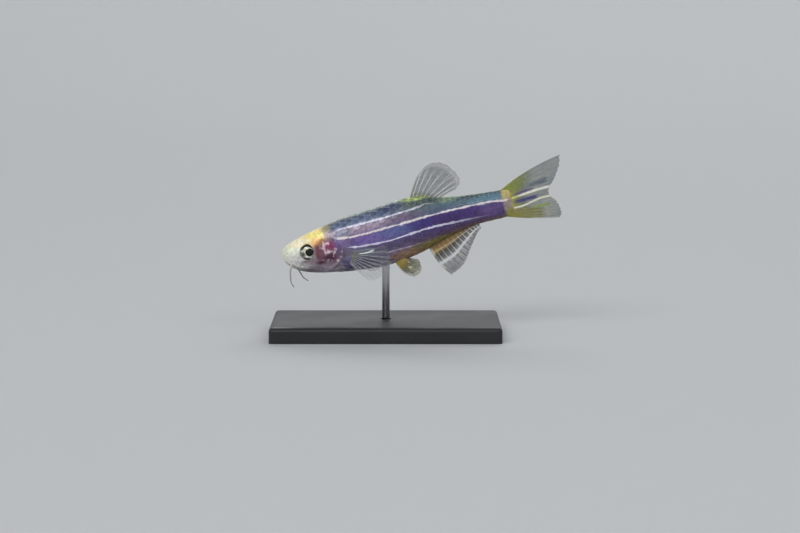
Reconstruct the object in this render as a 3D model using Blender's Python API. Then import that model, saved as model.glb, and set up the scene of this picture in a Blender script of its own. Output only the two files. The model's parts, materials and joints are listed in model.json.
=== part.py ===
"""A zebra danio at life size, held still on a plain display stand.

The fish is built straight in its own frame: snout at the origin, tail along +X, back up and its
left side at -Y. Each finished piece is then bent and tilted into the swimming pose over the stand.
The origin of the whole part is the middle of the stand's underside.
"""
import math

import bmesh
import bpy
from mathutils import Vector

MM = 0.001

# Driving sizes of the fish
BODY_LENGTH = 36.0 * MM  # snout to the base of the tail fin
GAP = 0.3 * MM  # clearance between pieces that touch on the animal
ROOT_DEPTH = 0.8 * MM  # how far a fin starts inside the body before it is trimmed

# Places along the body, from the snout
HEAD_END = 8.4 * MM
VENT = 22.3 * MM
ANAL_FIN_END = 31.8 * MM

# Along, back height, belly depth, half width and height of the widest line, in millimetres
BODY_LANDMARKS = (
    (0.0, 0.00, 0.00, 0.00, 0.00),  # tip of the snout
    (0.6, 1.04, 1.60, 0.95, -0.25),  # lips
    (2.2, 1.80, 2.92, 1.55, -0.40),  # nostrils
    (4.2, 2.34, 3.70, 2.05, -0.45),  # eyes
    (7.2, 3.02, 4.36, 2.45, -0.40),  # gill covers
    (10.8, 3.60, 4.86, 2.65, -0.35),  # pectoral fins
    (16.2, 4.06, 5.17, 2.65, -0.30),  # deepest point of the belly
    (21.6, 4.40, 4.43, 2.15, -0.10),  # front of the dorsal fin, above the vent
    (25.9, 3.42, 3.13, 1.55, 0.00),
    (31.0, 2.68, 2.16, 0.98, 0.15),  # tail stalk
    (36.0, 2.25, 2.09, 0.50, 0.08),  # base of the tail fin
)
BODY_SIDES = 28
RING_STEP = 0.0205  # spacing of the body rings, in roots of the share of the body's length
HEAD_RING_STEP = 0.017
BACK_SQUARENESS = 2.15  # 2 is an ellipse, more is squarer
BELLY_SQUARENESS = 2.1

# Head
EYE_PLACE = Vector((4.40, 1.80, -0.22)) * MM  # the side given is that of both eyes
EYE_RADII = Vector((1.22, 0.60, 1.22)) * MM
NOSTRIL_PLACE = (2.35 * MM, 1.15 * MM)  # along and up
NOSTRIL_RADIUS = 0.24 * MM
LIP_RADIUS = 0.24 * MM
LIP_PLACES = (1.0, 0.8, 0.55, 0.3, 0.12, 0.03)  # shares of the mouth's line, from its corner
LIP_TAPER = 0.35
MOUTH_FRONT = Vector((0.0, 0.2)) * MM  # along and up
MOUTH_CORNER = Vector((1.2, -1.57)) * MM
JAW_REAR = Vector((4.1, -2.95)) * MM
JAW_REAR_BELOW = Vector((4.7, -5.2)) * MM
SLOT_LEAD = 0.6  # how far the mouth's slot starts ahead of the snout, in mouth lengths
GILL_COVER_OUTLINE = (  # along and up, in millimetres, clockwise from the upper front
    (6.15, 0.95), (7.6, 1.40), (9.05, 0.70), (9.75, -0.90), (9.2, -2.25),
    (8.0, -3.15), (6.5, -3.55), (5.75, -2.60), (5.85, -0.90),
)
GILL_COVER_RAISED = 0.12 * MM
GILL_COVER_THICKNESS = 0.55 * MM
GILL_COVER_REACH = (4.6 * MM, 10.8 * MM)  # the length of body that its plate is cut from
CORE_MARGIN = 1.6 * MM  # how much longer the core is that hollows the plate
MIDDLE_CLEAR = 0.4 * MM  # cutters for one side start this far from the middle plane
CUT_WIDTH = 4.5 * MM  # and reach out this far, past the widest flank
EYE_SEGMENTS, EYE_RINGS = 20, 12
SOCKET_SEGMENTS, SOCKET_RINGS = 24, 14
NOSTRIL_SEGMENTS, NOSTRIL_RINGS = 10, 6

# Fins: rays as ridges raised in a membrane
MEMBRANE_AT_ROOT = 0.50 * MM
MEMBRANE_AT_TIP = 0.24 * MM
RIDGE_AT_ROOT = 0.14 * MM
RIDGE_AT_TIP = 0.05 * MM
RAY_HALF_WIDTH = 0.15 * MM
RAY_SHARE_OF_SPACING = 0.28
RAY_ROWS = 5
SLOPE_STEP = 0.01  # step of share or reach over which a fan's slope is measured
DORSAL_BOWS = (-0.05, -0.05)  # bend of the first and the last ray, as shares of their length
ANAL_BOWS = (-0.15, 0.0)
TAIL_UPPER_BOWS = (-0.09, 0.0)
TAIL_LOWER_BOWS = (0.0, 0.05)
PELVIC_BOWS = (-0.30, -0.05)
STRAIGHT = (0.0, 0.0)
DORSAL_RAYS = 9
ANAL_RAYS = 13
TAIL_UPPER_RAYS = 10
TAIL_LOWER_RAYS = 9
PECTORAL_RAYS = 11
PELVIC_RAYS = 8

# Outer margins of the fins, along and up in millimetres, from the first ray to the last
DORSAL_BASE = (21.35, 25.3)
DORSAL_MARGIN = (
    (23.6, 7.4), (25.3, 8.7), (27.2, 8.85), (28.7, 8.0), (29.8, 6.3), (30.0, 5.0), (29.1, 4.0),
)
ANAL_BASE = (22.9, 31.3)
ANAL_MARGIN = ((25.5, -9.0), (27.7, -7.8), (29.3, -5.6), (30.8, -3.6), (31.7, -2.85))
TAIL_ROOT = 35.2 * MM
TAIL_UPPER_BASE = (1.95 * MM, 0.41 * MM)
TAIL_LOWER_BASE = (-0.23 * MM, -1.80 * MM)
TAIL_UPPER_MARGIN = ((46.3, 5.5), (45.9, 4.0), (45.1, 2.7), (44.4, 1.75), (43.7, 1.1), (43.5, 0.6))
TAIL_LOWER_MARGIN = ((43.4, -0.45), (44.1, -1.25), (44.5, -2.35), (44.6, -3.5), (44.2, -4.15))

# Paired fins: along and up of the margin, and how far each point stands out from the root
PECTORAL_BASE = ((11.0, -1.75), (10.25, -3.05))
PECTORAL_MARGIN = ((16.6, -1.6), (16.8, -3.9), (15.6, -5.6), (13.2, -6.3), (11.3, -4.6))
PECTORAL_STANDS_OUT = (3.1, 3.5, 3.5, 2.9, 1.3)
PELVIC_BASE = ((17.3, -4.45), (18.2, -4.3))
PELVIC_MARGIN = ((19.7, -7.7), (20.7, -7.2), (21.1, -6.4), (20.9, -5.6))
PELVIC_STANDS_OUT = (1.1, 1.5, 1.6, 1.3)
PELVIC_SIDE = 0.65 * MM

# Barbels: along, out to the side and up, in millimetres, from root to tip
LEFT_MAXILLARY = (
    (1.7, 0.7, -1.5), (1.35, 1.35, -1.85), (1.05, 1.7, -2.6), (0.85, 1.7, -3.5), (0.75, 1.6, -4.4),
    (1.0, 1.5, -5.2),
)
RIGHT_MAXILLARY = (
    (1.7, 0.7, -1.5), (1.5, 1.4, -1.8), (1.72, 1.8, -2.6), (2.0, 1.8, -3.5), (2.35, 1.7, -4.4),
    (3.0, 1.6, -5.05),
)
ROSTRAL = ((0.75, 0.4, 0.25), (0.35, 1.0, 0.1), (0.45, 1.45, -0.45), (0.85, 1.65, -1.1))
BARBEL_RADIUS = 0.25 * MM
BARBEL_TIP_RADIUS = 0.11 * MM
BARBEL_STEPS = 3  # steps between two points of a route
TUBE_ROUNDNESS = 2

# Stand
BASE_SIZE = Vector((36.0, 20.0, 2.5)) * MM
BASE_BEVEL = 0.6 * MM
ROD_RADIUS = 0.6 * MM
ROD_SIDES = 20
SOCKET_DEPTH = 1.4 * MM
BEVEL_STEPS = 3
CREASE_ANGLE = math.radians(40.0)  # sharper corners than this look crisp

# Pose
PITCH = math.radians(13.0)  # head down
ROD_PLACE = 15.7 * MM  # where the rod meets the belly, from the snout
SNOUT_HEIGHT = 12.5 * MM
TAIL_SWEEP = 3.4 * MM  # sideways bend, for one body length away from the rod, squared

LEFT, RIGHT = -1, 1


def smooth_curve(points, share):
    """The point at a share, 0 to 1, of the smooth curve through the given points."""
    spans = len(points) - 1
    place = min(max(share, 0.0), 1.0) * spans
    span = min(int(place), spans - 1)
    f = place - span
    here, following = points[span], points[span + 1]
    before = points[span - 1] if span else 2 * here - following
    after = points[span + 2] if span + 2 <= spans else 2 * following - here
    return 0.5 * (
        2 * here
        + (following - before) * f
        + (2 * before - 5 * here + 4 * following - after) * f**2
        + (3 * here - before - 3 * following + after) * f**3
    )


def flat_points(pairs):
    """Points in the fish's middle plane from pairs of along and up in millimetres."""
    return [Vector((along * MM, 0.0, up * MM)) for along, up in pairs]


# Body


def body_at(along):
    """Back height, belly depth, half width and height of the widest line at a place along."""
    knots = [math.sqrt(row[0] * MM / BODY_LENGTH) for row in BODY_LANDMARKS]
    t = min(math.sqrt(max(along, 0.0) / BODY_LENGTH), 1.0)
    span = max(k for k in range(len(knots) - 1) if knots[k] <= t or k == 0)
    width = knots[span + 1] - knots[span]
    f = (t - knots[span]) / width
    values = []
    for column in range(1, 5):
        level = [row[column] * MM for row in BODY_LANDMARKS]
        slopes = []
        for k in (span, span + 1):
            low, high = max(k - 1, 0), min(k + 1, len(knots) - 1)
            slopes.append((level[high] - level[low]) / (knots[high] - knots[low]))
        values.append(
            level[span] * (2 * f**3 - 3 * f**2 + 1)
            + level[span + 1] * (3 * f**2 - 2 * f**3)
            + width * (slopes[0] * (f**3 - 2 * f**2 + f) + slopes[1] * (f**3 - f**2))
        )
    return values


def section_point(along, angle, grow=0.0):
    """A point of the body's outline at a place along; angle 0 is its right side, 90 its back."""
    back, belly, half_width, widest = body_at(along)
    above = math.sin(angle) >= 0
    power = 2 / (BACK_SQUARENESS if above else BELLY_SQUARENESS)
    reach = (back - widest if above else belly + widest) + grow
    out = math.copysign(abs(math.cos(angle)) ** power, math.cos(angle))
    up = math.copysign(abs(math.sin(angle)) ** power, math.sin(angle))
    return Vector((along, out * (half_width + grow), widest + up * reach))


def flank(along, up):
    """How far the body's side stands out at a place along and a height."""
    back, belly, half_width, widest = body_at(along)
    above = up >= widest
    power = BACK_SQUARENESS if above else BELLY_SQUARENESS
    share = abs(up - widest) / (back - widest if above else belly + widest)
    return half_width * max(1.0 - share**power, 0.0) ** (1 / power)


def loft(name, start, end, ring_step=RING_STEP, grow=0.0):
    """A closed length of the body from one place along to another."""
    t_start, t_end = math.sqrt(start / BODY_LENGTH), math.sqrt(end / BODY_LENGTH)
    count = max(round((t_end - t_start) / ring_step), 2)
    bm = bmesh.new()
    rings = []
    for step in range(count + 1):
        along = BODY_LENGTH * (t_start + (t_end - t_start) * step / count) ** 2
        if along == 0.0:
            rings.append([bm.verts.new((0.0, 0.0, 0.0))] * BODY_SIDES)
            continue
        angles = [2 * math.pi * side / BODY_SIDES for side in range(BODY_SIDES)]
        rings.append([bm.verts.new(section_point(along, angle, grow)) for angle in angles])
    for ring, following in zip(rings, rings[1:]):
        for side in range(BODY_SIDES):
            after = (side + 1) % BODY_SIDES
            corners = [ring[side], ring[after], following[after], following[side]]
            bm.faces.new(list(dict.fromkeys(corners)))
    for ring in (rings[0], rings[-1]):
        if ring[0] is not ring[1]:
            bm.faces.new(ring)
    bmesh.ops.recalc_face_normals(bm, faces=bm.faces)
    return mesh_object(name, bm)


def clearance_body():
    """The whole body grown by the gap, which trims whatever grows from it."""
    body = loft("clearance_body", 0.0, BODY_LENGTH)
    bm = bmesh.new()
    bm.from_mesh(body.data)
    bm.normal_update()
    for vert in bm.verts:
        vert.co += vert.normal * GAP
    bm.to_mesh(body.data)
    bm.free()
    return as_cutter(body)


# Objects and cuts


def collection(name):
    made = bpy.data.collections.new(name)
    bpy.context.scene.collection.children.link(made)
    return made


def mesh_object(name, bm):
    """A new object in the parts' collection from a bmesh, which is freed."""
    mesh = bpy.data.meshes.new(name)
    bm.to_mesh(mesh)
    bm.free()
    obj = bpy.data.objects.new(name, mesh)
    PARTS.objects.link(obj)
    return obj


def as_cutter(obj):
    """Moves an object to the cutters, which aren't part of the model."""
    for holder in list(obj.users_collection):
        holder.objects.unlink(obj)
    CUTTERS.objects.link(obj)
    obj.hide_render = True
    obj.display_type = "WIRE"
    return obj


def duplicate(obj, name):
    copy = bpy.data.objects.new(name, obj.data.copy())
    copy.matrix_world = obj.matrix_world
    PARTS.objects.link(copy)
    return copy


def evaluated_mesh(obj):
    bpy.context.view_layer.update()
    return bpy.data.meshes.new_from_object(obj.evaluated_get(bpy.context.evaluated_depsgraph_get()))


def combine(obj, other, operation):
    """Cuts, joins or intersects an object with another, at once."""
    modifier = obj.modifiers.new(operation.lower(), "BOOLEAN")
    modifier.operation = operation
    modifier.object = other
    mesh = evaluated_mesh(obj)
    obj.modifiers.clear()
    obj.data = mesh
    return obj


def enclosed_volume(faces):
    total = 0.0
    for face in faces:
        first = face.verts[0].co
        for a, b in zip(face.verts[1:], face.verts[2:]):
            total += first.dot(a.co.cross(b.co)) / 6
    return total


def keep_piece(obj, rank=0):
    """Keeps one closed surface of a mesh: rank 0 is the largest, 1 the next."""
    bm = bmesh.new()
    bm.from_mesh(obj.data)
    left = set(bm.faces)
    pieces = []
    while left:
        todo = [left.pop()]
        piece = set(todo)
        while todo:
            for edge in todo.pop().edges:
                for face in edge.link_faces:
                    if face in left:
                        left.remove(face)
                        piece.add(face)
                        todo.append(face)
        pieces.append(piece)
    pieces.sort(key=enclosed_volume, reverse=True)
    dropped = [face for n, piece in enumerate(pieces) if n != rank for face in piece]
    bmesh.ops.delete(bm, geom=dropped, context="FACES")
    bm.to_mesh(obj.data)
    bm.free()
    return obj


def side_prism(name, outline, side_from, side_to):
    """A cutter that extrudes an outline of along and up from one side to another."""
    bm = bmesh.new()
    face = bm.faces.new([bm.verts.new((point.x, side_from, point.y)) for point in outline])
    made = bmesh.ops.extrude_face_region(bm, geom=[face])
    moved = [item for item in made["geom"] if isinstance(item, bmesh.types.BMVert)]
    bmesh.ops.translate(bm, verts=moved, vec=(0.0, side_to - side_from, 0.0))
    bmesh.ops.recalc_face_normals(bm, faces=bm.faces)
    return as_cutter(mesh_object(name, bm))


def ellipsoid(name, centre, radii, segments, rings):
    """A closed ellipsoid with its poles out to the sides."""
    bm = bmesh.new()
    bmesh.ops.create_uvsphere(bm, u_segments=segments, v_segments=rings, radius=1.0)
    for vert in bm.verts:
        x, y, z = vert.co
        vert.co = centre + Vector((x * radii.x, -z * radii.y, y * radii.z))
    bm.normal_update()
    bmesh.ops.recalc_face_normals(bm, faces=bm.faces)
    return mesh_object(name, bm)


def tube(name, points, radii):
    """A closed round tube through the points, as a mesh."""
    data = bpy.data.curves.new(name, "CURVE")
    data.dimensions = "3D"
    data.bevel_depth = 1.0
    data.bevel_resolution = TUBE_ROUNDNESS
    data.use_fill_caps = True
    spline = data.splines.new("POLY")
    spline.points.add(len(points) - 1)
    for point, place, radius in zip(spline.points, points, radii):
        point.co = (*place, 1.0)
        point.radius = radius
    curve = bpy.data.objects.new(name + "_curve", data)
    bpy.context.scene.collection.objects.link(curve)
    bm = bmesh.new()
    bm.from_mesh(evaluated_mesh(curve))
    bmesh.ops.remove_doubles(bm, verts=bm.verts, dist=0.001 * MM)
    bmesh.ops.recalc_face_normals(bm, faces=bm.faces)
    bpy.data.objects.remove(curve)
    return mesh_object(name, bm)


# Head, jaw, eyes and gill covers


def slot_outline(points, width):
    """The outline of a narrow slot along a line of points, each of along and up."""
    upper, lower = [], []
    for n, point in enumerate(points):
        before, after = points[max(n - 1, 0)], points[min(n + 1, len(points) - 1)]
        heading = (after - before).normalized()
        out = Vector((-heading.y, heading.x)) * width / 2
        upper.append(point + out)
        lower.append(point - out)
    return upper + lower[::-1]


def lips():
    """A soft rim along both sides of the mouth, round the front of the snout."""
    half = []
    for share in LIP_PLACES:
        place = MOUTH_FRONT.lerp(MOUTH_CORNER, share)
        half.append(Vector((place.x, flank(place.x, place.y), place.y)))
    mirrored = [Vector((point.x, -point.y, point.z)) for point in reversed(half)]
    points = half + mirrored
    shares = [abs(2 * n / (len(points) - 1) - 1) for n in range(len(points))]
    radii = [LIP_RADIUS * (1.0 - LIP_TAPER * share**3) for share in shares]
    return as_cutter(tube("lips", points, radii))


def gill_outline(grow=0.0):
    """The gill cover's outline of along and up, grown outward by a distance."""
    corners = [Vector(pair) * MM for pair in GILL_COVER_OUTLINE]
    count = len(corners)
    closed = corners[-1:] + corners + corners[:2]
    points = []
    for n in range(count):
        for f in (0.0, 1 / 3, 2 / 3):
            points.append(smooth_curve(closed, (n + 1 + f) / (len(closed) - 1)))
    grown = []
    for n, point in enumerate(points):
        heading = (points[(n + 1) % len(points)] - points[n - 1]).normalized()
        grown.append(point + Vector((-heading.y, heading.x)) * grow)
    return grown


def gill_cover(side):
    """The bony flap over the gills, a raised plate that follows the head's side."""
    name = f"gill_cover_{side_name(side)}"
    plate = loft(name, *GILL_COVER_REACH, HEAD_RING_STEP, GILL_COVER_RAISED)
    sides = (side * MIDDLE_CLEAR, side * CUT_WIDTH)
    combine(plate, side_prism("gill_cover_outline", gill_outline(), *sides), "INTERSECT")
    combine(plate, gill_core(GILL_COVER_RAISED - GILL_COVER_THICKNESS), "DIFFERENCE")
    return keep_piece(plate)


def gill_core(grow):
    """The flesh under the gill cover, which its plate and its recess stop at."""
    start, end = GILL_COVER_REACH
    return as_cutter(loft("gill_core", start - CORE_MARGIN, end + CORE_MARGIN, HEAD_RING_STEP, grow))


def gill_recess(side):
    """The space that the gill cover needs in the head and the trunk."""
    sides = (side * (MIDDLE_CLEAR - GAP / 2), side * (CUT_WIDTH + GAP))
    recess = side_prism("gill_recess", gill_outline(GAP), *sides)
    return combine(recess, gill_core(GILL_COVER_RAISED - GILL_COVER_THICKNESS - GAP), "DIFFERENCE")


def build_head():
    """The head and its parts: a slot parts the jaw, and the eyes and gill covers get room."""
    head = loft("head", 0.0, HEAD_END - GAP / 2, HEAD_RING_STEP)
    combine(head, lips(), "UNION")
    ahead_of_snout = MOUTH_FRONT.lerp(MOUTH_CORNER, -SLOT_LEAD)
    line = [ahead_of_snout, MOUTH_CORNER, JAW_REAR, JAW_REAR_BELOW]
    slot = side_prism("mouth_slot", slot_outline(line, GAP), -CUT_WIDTH, CUT_WIDTH)
    combine(head, slot, "DIFFERENCE")
    lower_jaw = keep_piece(duplicate(head, "lower_jaw"), 1)
    keep_piece(head)
    along, up = NOSTRIL_PLACE
    made = [(lower_jaw, "jaw")]
    for side in (LEFT, RIGHT):
        place = Vector((EYE_PLACE.x, side * EYE_PLACE.y, EYE_PLACE.z))
        name = f"eye_{side_name(side)}"
        made.append((ellipsoid(name, place, EYE_RADII, EYE_SEGMENTS, EYE_RINGS), "eye"))
        room = EYE_RADII + Vector((GAP, GAP, GAP))
        socket = ellipsoid("eye_socket", place, room, SOCKET_SEGMENTS, SOCKET_RINGS)
        combine(head, as_cutter(socket), "DIFFERENCE")
        place = Vector((along, side * flank(along, up), up))
        size = Vector((NOSTRIL_RADIUS, NOSTRIL_RADIUS, NOSTRIL_RADIUS))
        pit = ellipsoid("nostril", place, size, NOSTRIL_SEGMENTS, NOSTRIL_RINGS)
        combine(head, as_cutter(pit), "DIFFERENCE")
        combine(head, gill_recess(side), "DIFFERENCE")
        made.append((gill_cover(side), "gill_cover"))
    made.append((keep_piece(head), "head"))
    return made


# Trunk and tail


def build_trunk():
    """The body behind the head in three lengths, parted at the vent and behind the anal fin."""
    trunk = loft("trunk", HEAD_END + GAP / 2, VENT - GAP / 2)
    for side in (LEFT, RIGHT):
        combine(trunk, gill_recess(side), "DIFFERENCE")
    hind_body = loft("hind_body", VENT + GAP / 2, ANAL_FIN_END - GAP / 2)
    tail_stalk = loft("tail_stalk", ANAL_FIN_END + GAP / 2, BODY_LENGTH)
    return [(keep_piece(trunk), "flank"), (hind_body, "flank"), (tail_stalk, "tail")]


# Fins


def ray_fan(name, roots, margin, count, bows):
    """A fin: a tapering membrane from the roots to the margin, with its rays as raised ridges.

    Bows bend the first and the last ray toward the last one's side, as shares of their length,
    and the rays between them by shares in between.
    """

    def place(share, reach):
        root, tip = smooth_curve(roots, share), smooth_curve(margin, share)
        across = smooth_curve(margin, 1.0) - smooth_curve(margin, 0.0)
        ray = tip - root
        across = (across - ray * across.dot(ray) / ray.length_squared).normalized()
        bow = bows[0] + (bows[1] - bows[0]) * share
        middle = root.lerp(tip, 0.5) + across * bow * ray.length
        return root.lerp(middle, reach).lerp(middle.lerp(tip, reach), reach)

    spacing = 1.0 / (count - 1)
    faces_up, faces_down = [], []
    bm = bmesh.new()
    for row in range(RAY_ROWS):
        reach = row / (RAY_ROWS - 1)
        membrane = (MEMBRANE_AT_ROOT + (MEMBRANE_AT_TIP - MEMBRANE_AT_ROOT) * reach) / 2
        ridge = RIDGE_AT_ROOT + (RIDGE_AT_TIP - RIDGE_AT_ROOT) * reach
        upper, lower = [], []
        for ray in range(count):
            share = ray * spacing
            before, after = max(share - SLOPE_STEP, 0.0), min(share + SLOPE_STEP, 1.0)
            across = place(after, reach) - place(before, reach)
            width = across.length / (after - before) * spacing
            half_width = min(RAY_HALF_WIDTH, RAY_SHARE_OF_SPACING * width)
            near, far = max(reach - SLOPE_STEP, 0.0), min(reach + SLOPE_STEP, 1.0)
            along = place(share, far) - place(share, near)
            across.normalize()
            normal = across.cross(along).normalized()
            centre = place(share, reach)
            for out, height in ((-1, 0.0), (0, min(ridge, half_width)), (1, 0.0)):
                middle = centre + across * half_width * out
                upper.append(bm.verts.new(middle + normal * (membrane + height)))
                lower.append(bm.verts.new(middle - normal * (membrane + height)))
        faces_up.append(upper)
        faces_down.append(lower)
    columns = 3 * count
    for grid in (faces_up, faces_down):
        for row in range(RAY_ROWS - 1):
            for column in range(columns - 1):
                a, b = grid[row][column], grid[row][column + 1]
                c, d = grid[row + 1][column + 1], grid[row + 1][column]
                bm.faces.new((a, b, c))
                bm.faces.new((a, c, d))
    rim = [(0, column) for column in range(columns)]
    rim += [(row, columns - 1) for row in range(1, RAY_ROWS)]
    rim += [(RAY_ROWS - 1, column) for column in range(columns - 2, -1, -1)]
    rim += [(row, 0) for row in range(RAY_ROWS - 2, 0, -1)]
    for (r1, c1), (r2, c2) in zip(rim, rim[1:] + rim[:1]):
        bm.faces.new((faces_up[r1][c1], faces_up[r2][c2], faces_down[r2][c2]))
        bm.faces.new((faces_up[r1][c1], faces_down[r2][c2], faces_down[r1][c1]))
    bmesh.ops.recalc_face_normals(bm, faces=bm.faces)
    return mesh_object(name, bm)


def trimmed(obj, clearance):
    """Ends a piece at the body's clearance, so that it meets the surface that it grows from."""
    return keep_piece(combine(obj, clearance, "DIFFERENCE"))


def dorsal_roots():
    places = [DORSAL_BASE[0], sum(DORSAL_BASE) / 2, DORSAL_BASE[1]]
    return [Vector((p * MM, 0.0, body_at(p * MM)[0] - ROOT_DEPTH)) for p in places]


def anal_roots():
    places = [ANAL_BASE[0] + (ANAL_BASE[1] - ANAL_BASE[0]) * n / 3 for n in range(4)]
    return [Vector((p * MM, 0.0, ROOT_DEPTH - body_at(p * MM)[1])) for p in places]


def tail_roots(base):
    return [Vector((TAIL_ROOT, 0.0, up)) for up in base]


def paired_fan(name, side, base, root_side, margin, stands_out, count, bows):
    """A fin of a pair, whose margin stands out from its root by the given distances."""
    roots = [Vector((p.x, side * (root_side(p) - ROOT_DEPTH / 2), p.z)) for p in flat_points(base)]
    outer = root_side(flat_points(base)[0])
    tips = []
    for point, out in zip(flat_points(margin), stands_out):
        tips.append(Vector((point.x, side * (outer + out * MM), point.z)))
    return ray_fan(name, roots, tips, count, bows)


def build_fins(clearance):
    """The median fins, and a pectoral and a pelvic fin on each side."""
    made = [
        ray_fan("dorsal_fin", dorsal_roots(), flat_points(DORSAL_MARGIN), DORSAL_RAYS, DORSAL_BOWS),
        ray_fan("anal_fin", anal_roots(), flat_points(ANAL_MARGIN), ANAL_RAYS, ANAL_BOWS),
        ray_fan(
            "tail_fin_upper", tail_roots(TAIL_UPPER_BASE), flat_points(TAIL_UPPER_MARGIN),
            TAIL_UPPER_RAYS, TAIL_UPPER_BOWS,
        ),
        ray_fan(
            "tail_fin_lower", tail_roots(TAIL_LOWER_BASE), flat_points(TAIL_LOWER_MARGIN),
            TAIL_LOWER_RAYS, TAIL_LOWER_BOWS,
        ),
    ]
    for side in (LEFT, RIGHT):
        made.append(paired_fan(
            f"pectoral_fin_{side_name(side)}", side, PECTORAL_BASE,
            lambda point: flank(point.x, point.z), PECTORAL_MARGIN, PECTORAL_STANDS_OUT,
            PECTORAL_RAYS, STRAIGHT,
        ))
        made.append(paired_fan(
            f"pelvic_fin_{side_name(side)}", side, PELVIC_BASE,
            lambda point: PELVIC_SIDE + ROOT_DEPTH / 2, PELVIC_MARGIN, PELVIC_STANDS_OUT,
            PELVIC_RAYS, PELVIC_BOWS,
        ))
    return [(trimmed(fin, clearance), "fin") for fin in made]


# Barbels


def barbel(name, side, route, clearance):
    points = [Vector((along, side * out, up)) * MM for along, out, up in route]
    steps = BARBEL_STEPS * (len(points) - 1)
    smooth = [smooth_curve(points, n / steps) for n in range(steps + 1)]
    fall = BARBEL_TIP_RADIUS - BARBEL_RADIUS
    radii = [BARBEL_RADIUS + fall * n / steps for n in range(steps + 1)]
    return trimmed(tube(name, smooth, radii), clearance)


def build_barbels(clearance):
    """The long pair at the corners of the mouth and the short pair at the front of the snout."""
    return [
        (barbel("barbel_maxillary_left", LEFT, LEFT_MAXILLARY, clearance), "barbel"),
        (barbel("barbel_maxillary_right", RIGHT, RIGHT_MAXILLARY, clearance), "barbel"),
        (barbel("barbel_rostral_left", LEFT, ROSTRAL, clearance), "barbel"),
        (barbel("barbel_rostral_right", RIGHT, ROSTRAL, clearance), "barbel"),
    ]


# Pose


def posed(point):
    """A point of the straight fish, bent sideways and tilted into its place over the stand."""
    away = (point.x - ROD_PLACE) / BODY_LENGTH
    heading = math.atan(2 * TAIL_SWEEP * away / BODY_LENGTH)
    along = point.x - point.y * math.sin(heading)
    side = TAIL_SWEEP * away**2 + point.y * math.cos(heading)
    belly = body_at(ROD_PLACE)[1]
    snout_x = -(ROD_PLACE * math.cos(PITCH) + belly * math.sin(PITCH))
    return Vector((
        snout_x + along * math.cos(PITCH) - point.z * math.sin(PITCH),
        side,
        SNOUT_HEIGHT + along * math.sin(PITCH) + point.z * math.cos(PITCH),
    ))


def pose(obj):
    """Bends and tilts a finished piece; its faces are made triangles first, so they stay flat."""
    bm = bmesh.new()
    bm.from_mesh(obj.data)
    bmesh.ops.triangulate(bm, faces=bm.faces)
    for vert in bm.verts:
        vert.co = posed(vert.co)
    bm.to_mesh(obj.data)
    bm.free()
    return obj


# Stand


def build_stand(clearance):
    """A flat base and one short rod from a socket in it up to the belly."""
    bm = bmesh.new()
    bmesh.ops.create_cube(bm, size=1.0)
    bmesh.ops.scale(bm, vec=BASE_SIZE, verts=bm.verts)
    bmesh.ops.translate(bm, vec=(0.0, 0.0, BASE_SIZE.z / 2), verts=bm.verts)
    upper = [edge for edge in bm.edges if max(v.co.z for v in edge.verts) > BASE_SIZE.z / 2]
    bmesh.ops.bevel(
        bm, geom=upper, offset=BASE_BEVEL, segments=BEVEL_STEPS, profile=0.5, affect="EDGES"
    )
    base = mesh_object("stand_base", bm)
    socket = cylinder("socket", ROD_RADIUS + GAP, BASE_SIZE.z - SOCKET_DEPTH, 2 * BASE_SIZE.z)
    combine(base, as_cutter(socket), "DIFFERENCE")
    foot = BASE_SIZE.z - SOCKET_DEPTH + GAP
    rod = cylinder("stand_rod", ROD_RADIUS, foot, SNOUT_HEIGHT + ROOT_DEPTH)
    return [(base, "stand_base"), (trimmed(rod, pose(clearance)), "stand_rod")]


def cylinder(name, radius, bottom, top):
    bm = bmesh.new()
    bmesh.ops.create_cone(
        bm, cap_ends=True, segments=ROD_SIDES, radius1=radius, radius2=radius, depth=top - bottom
    )
    bmesh.ops.translate(bm, vec=(0.0, 0.0, (top + bottom) / 2), verts=bm.verts)
    return mesh_object(name, bm)


# Materials: base colour, roughness and metallic value
FINISHES = {
    "head": ((0.80, 0.62, 0.36), 0.35, 0.0),
    "jaw": ((0.78, 0.74, 0.66), 0.35, 0.0),
    "gill_cover": ((0.50, 0.18, 0.24), 0.30, 0.2),
    "eye": ((0.03, 0.03, 0.03), 0.08, 0.0),
    "flank": ((0.28, 0.26, 0.55), 0.30, 0.2),
    "tail": ((0.40, 0.36, 0.45), 0.30, 0.2),
    "fin": ((0.58, 0.60, 0.45), 0.30, 0.0),
    "barbel": ((0.50, 0.50, 0.48), 0.40, 0.0),
    "stand_base": ((0.03, 0.03, 0.035), 0.45, 0.0),
    "stand_rod": ((0.60, 0.60, 0.62), 0.30, 1.0),
}


def finish(obj, look):
    """Gives a piece its own material and smooth shading with crisp corners."""
    colour, roughness, metallic = FINISHES[look]
    material = bpy.data.materials.new(obj.name)
    material.use_nodes = True
    surface = material.node_tree.nodes["Principled BSDF"]
    surface.inputs["Base Color"].default_value = (*colour, 1.0)
    surface.inputs["Roughness"].default_value = roughness
    surface.inputs["Metallic"].default_value = metallic
    obj.data.materials.clear()
    obj.data.materials.append(material)
    obj.data.shade_smooth()
    obj.data.set_sharp_from_angle(angle=CREASE_ANGLE)


def side_name(side):
    return "left" if side == LEFT else "right"


for leftover in list(bpy.data.objects):
    bpy.data.objects.remove(leftover)
PARTS = collection("zebra_danio")
CUTTERS = collection("cutters")

body_room = clearance_body()
fish = build_head() + build_trunk() + build_fins(body_room) + build_barbels(body_room)
for piece, look in fish:
    finish(pose(piece), look)
for piece, look in build_stand(body_room):
    finish(piece, look)
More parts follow.
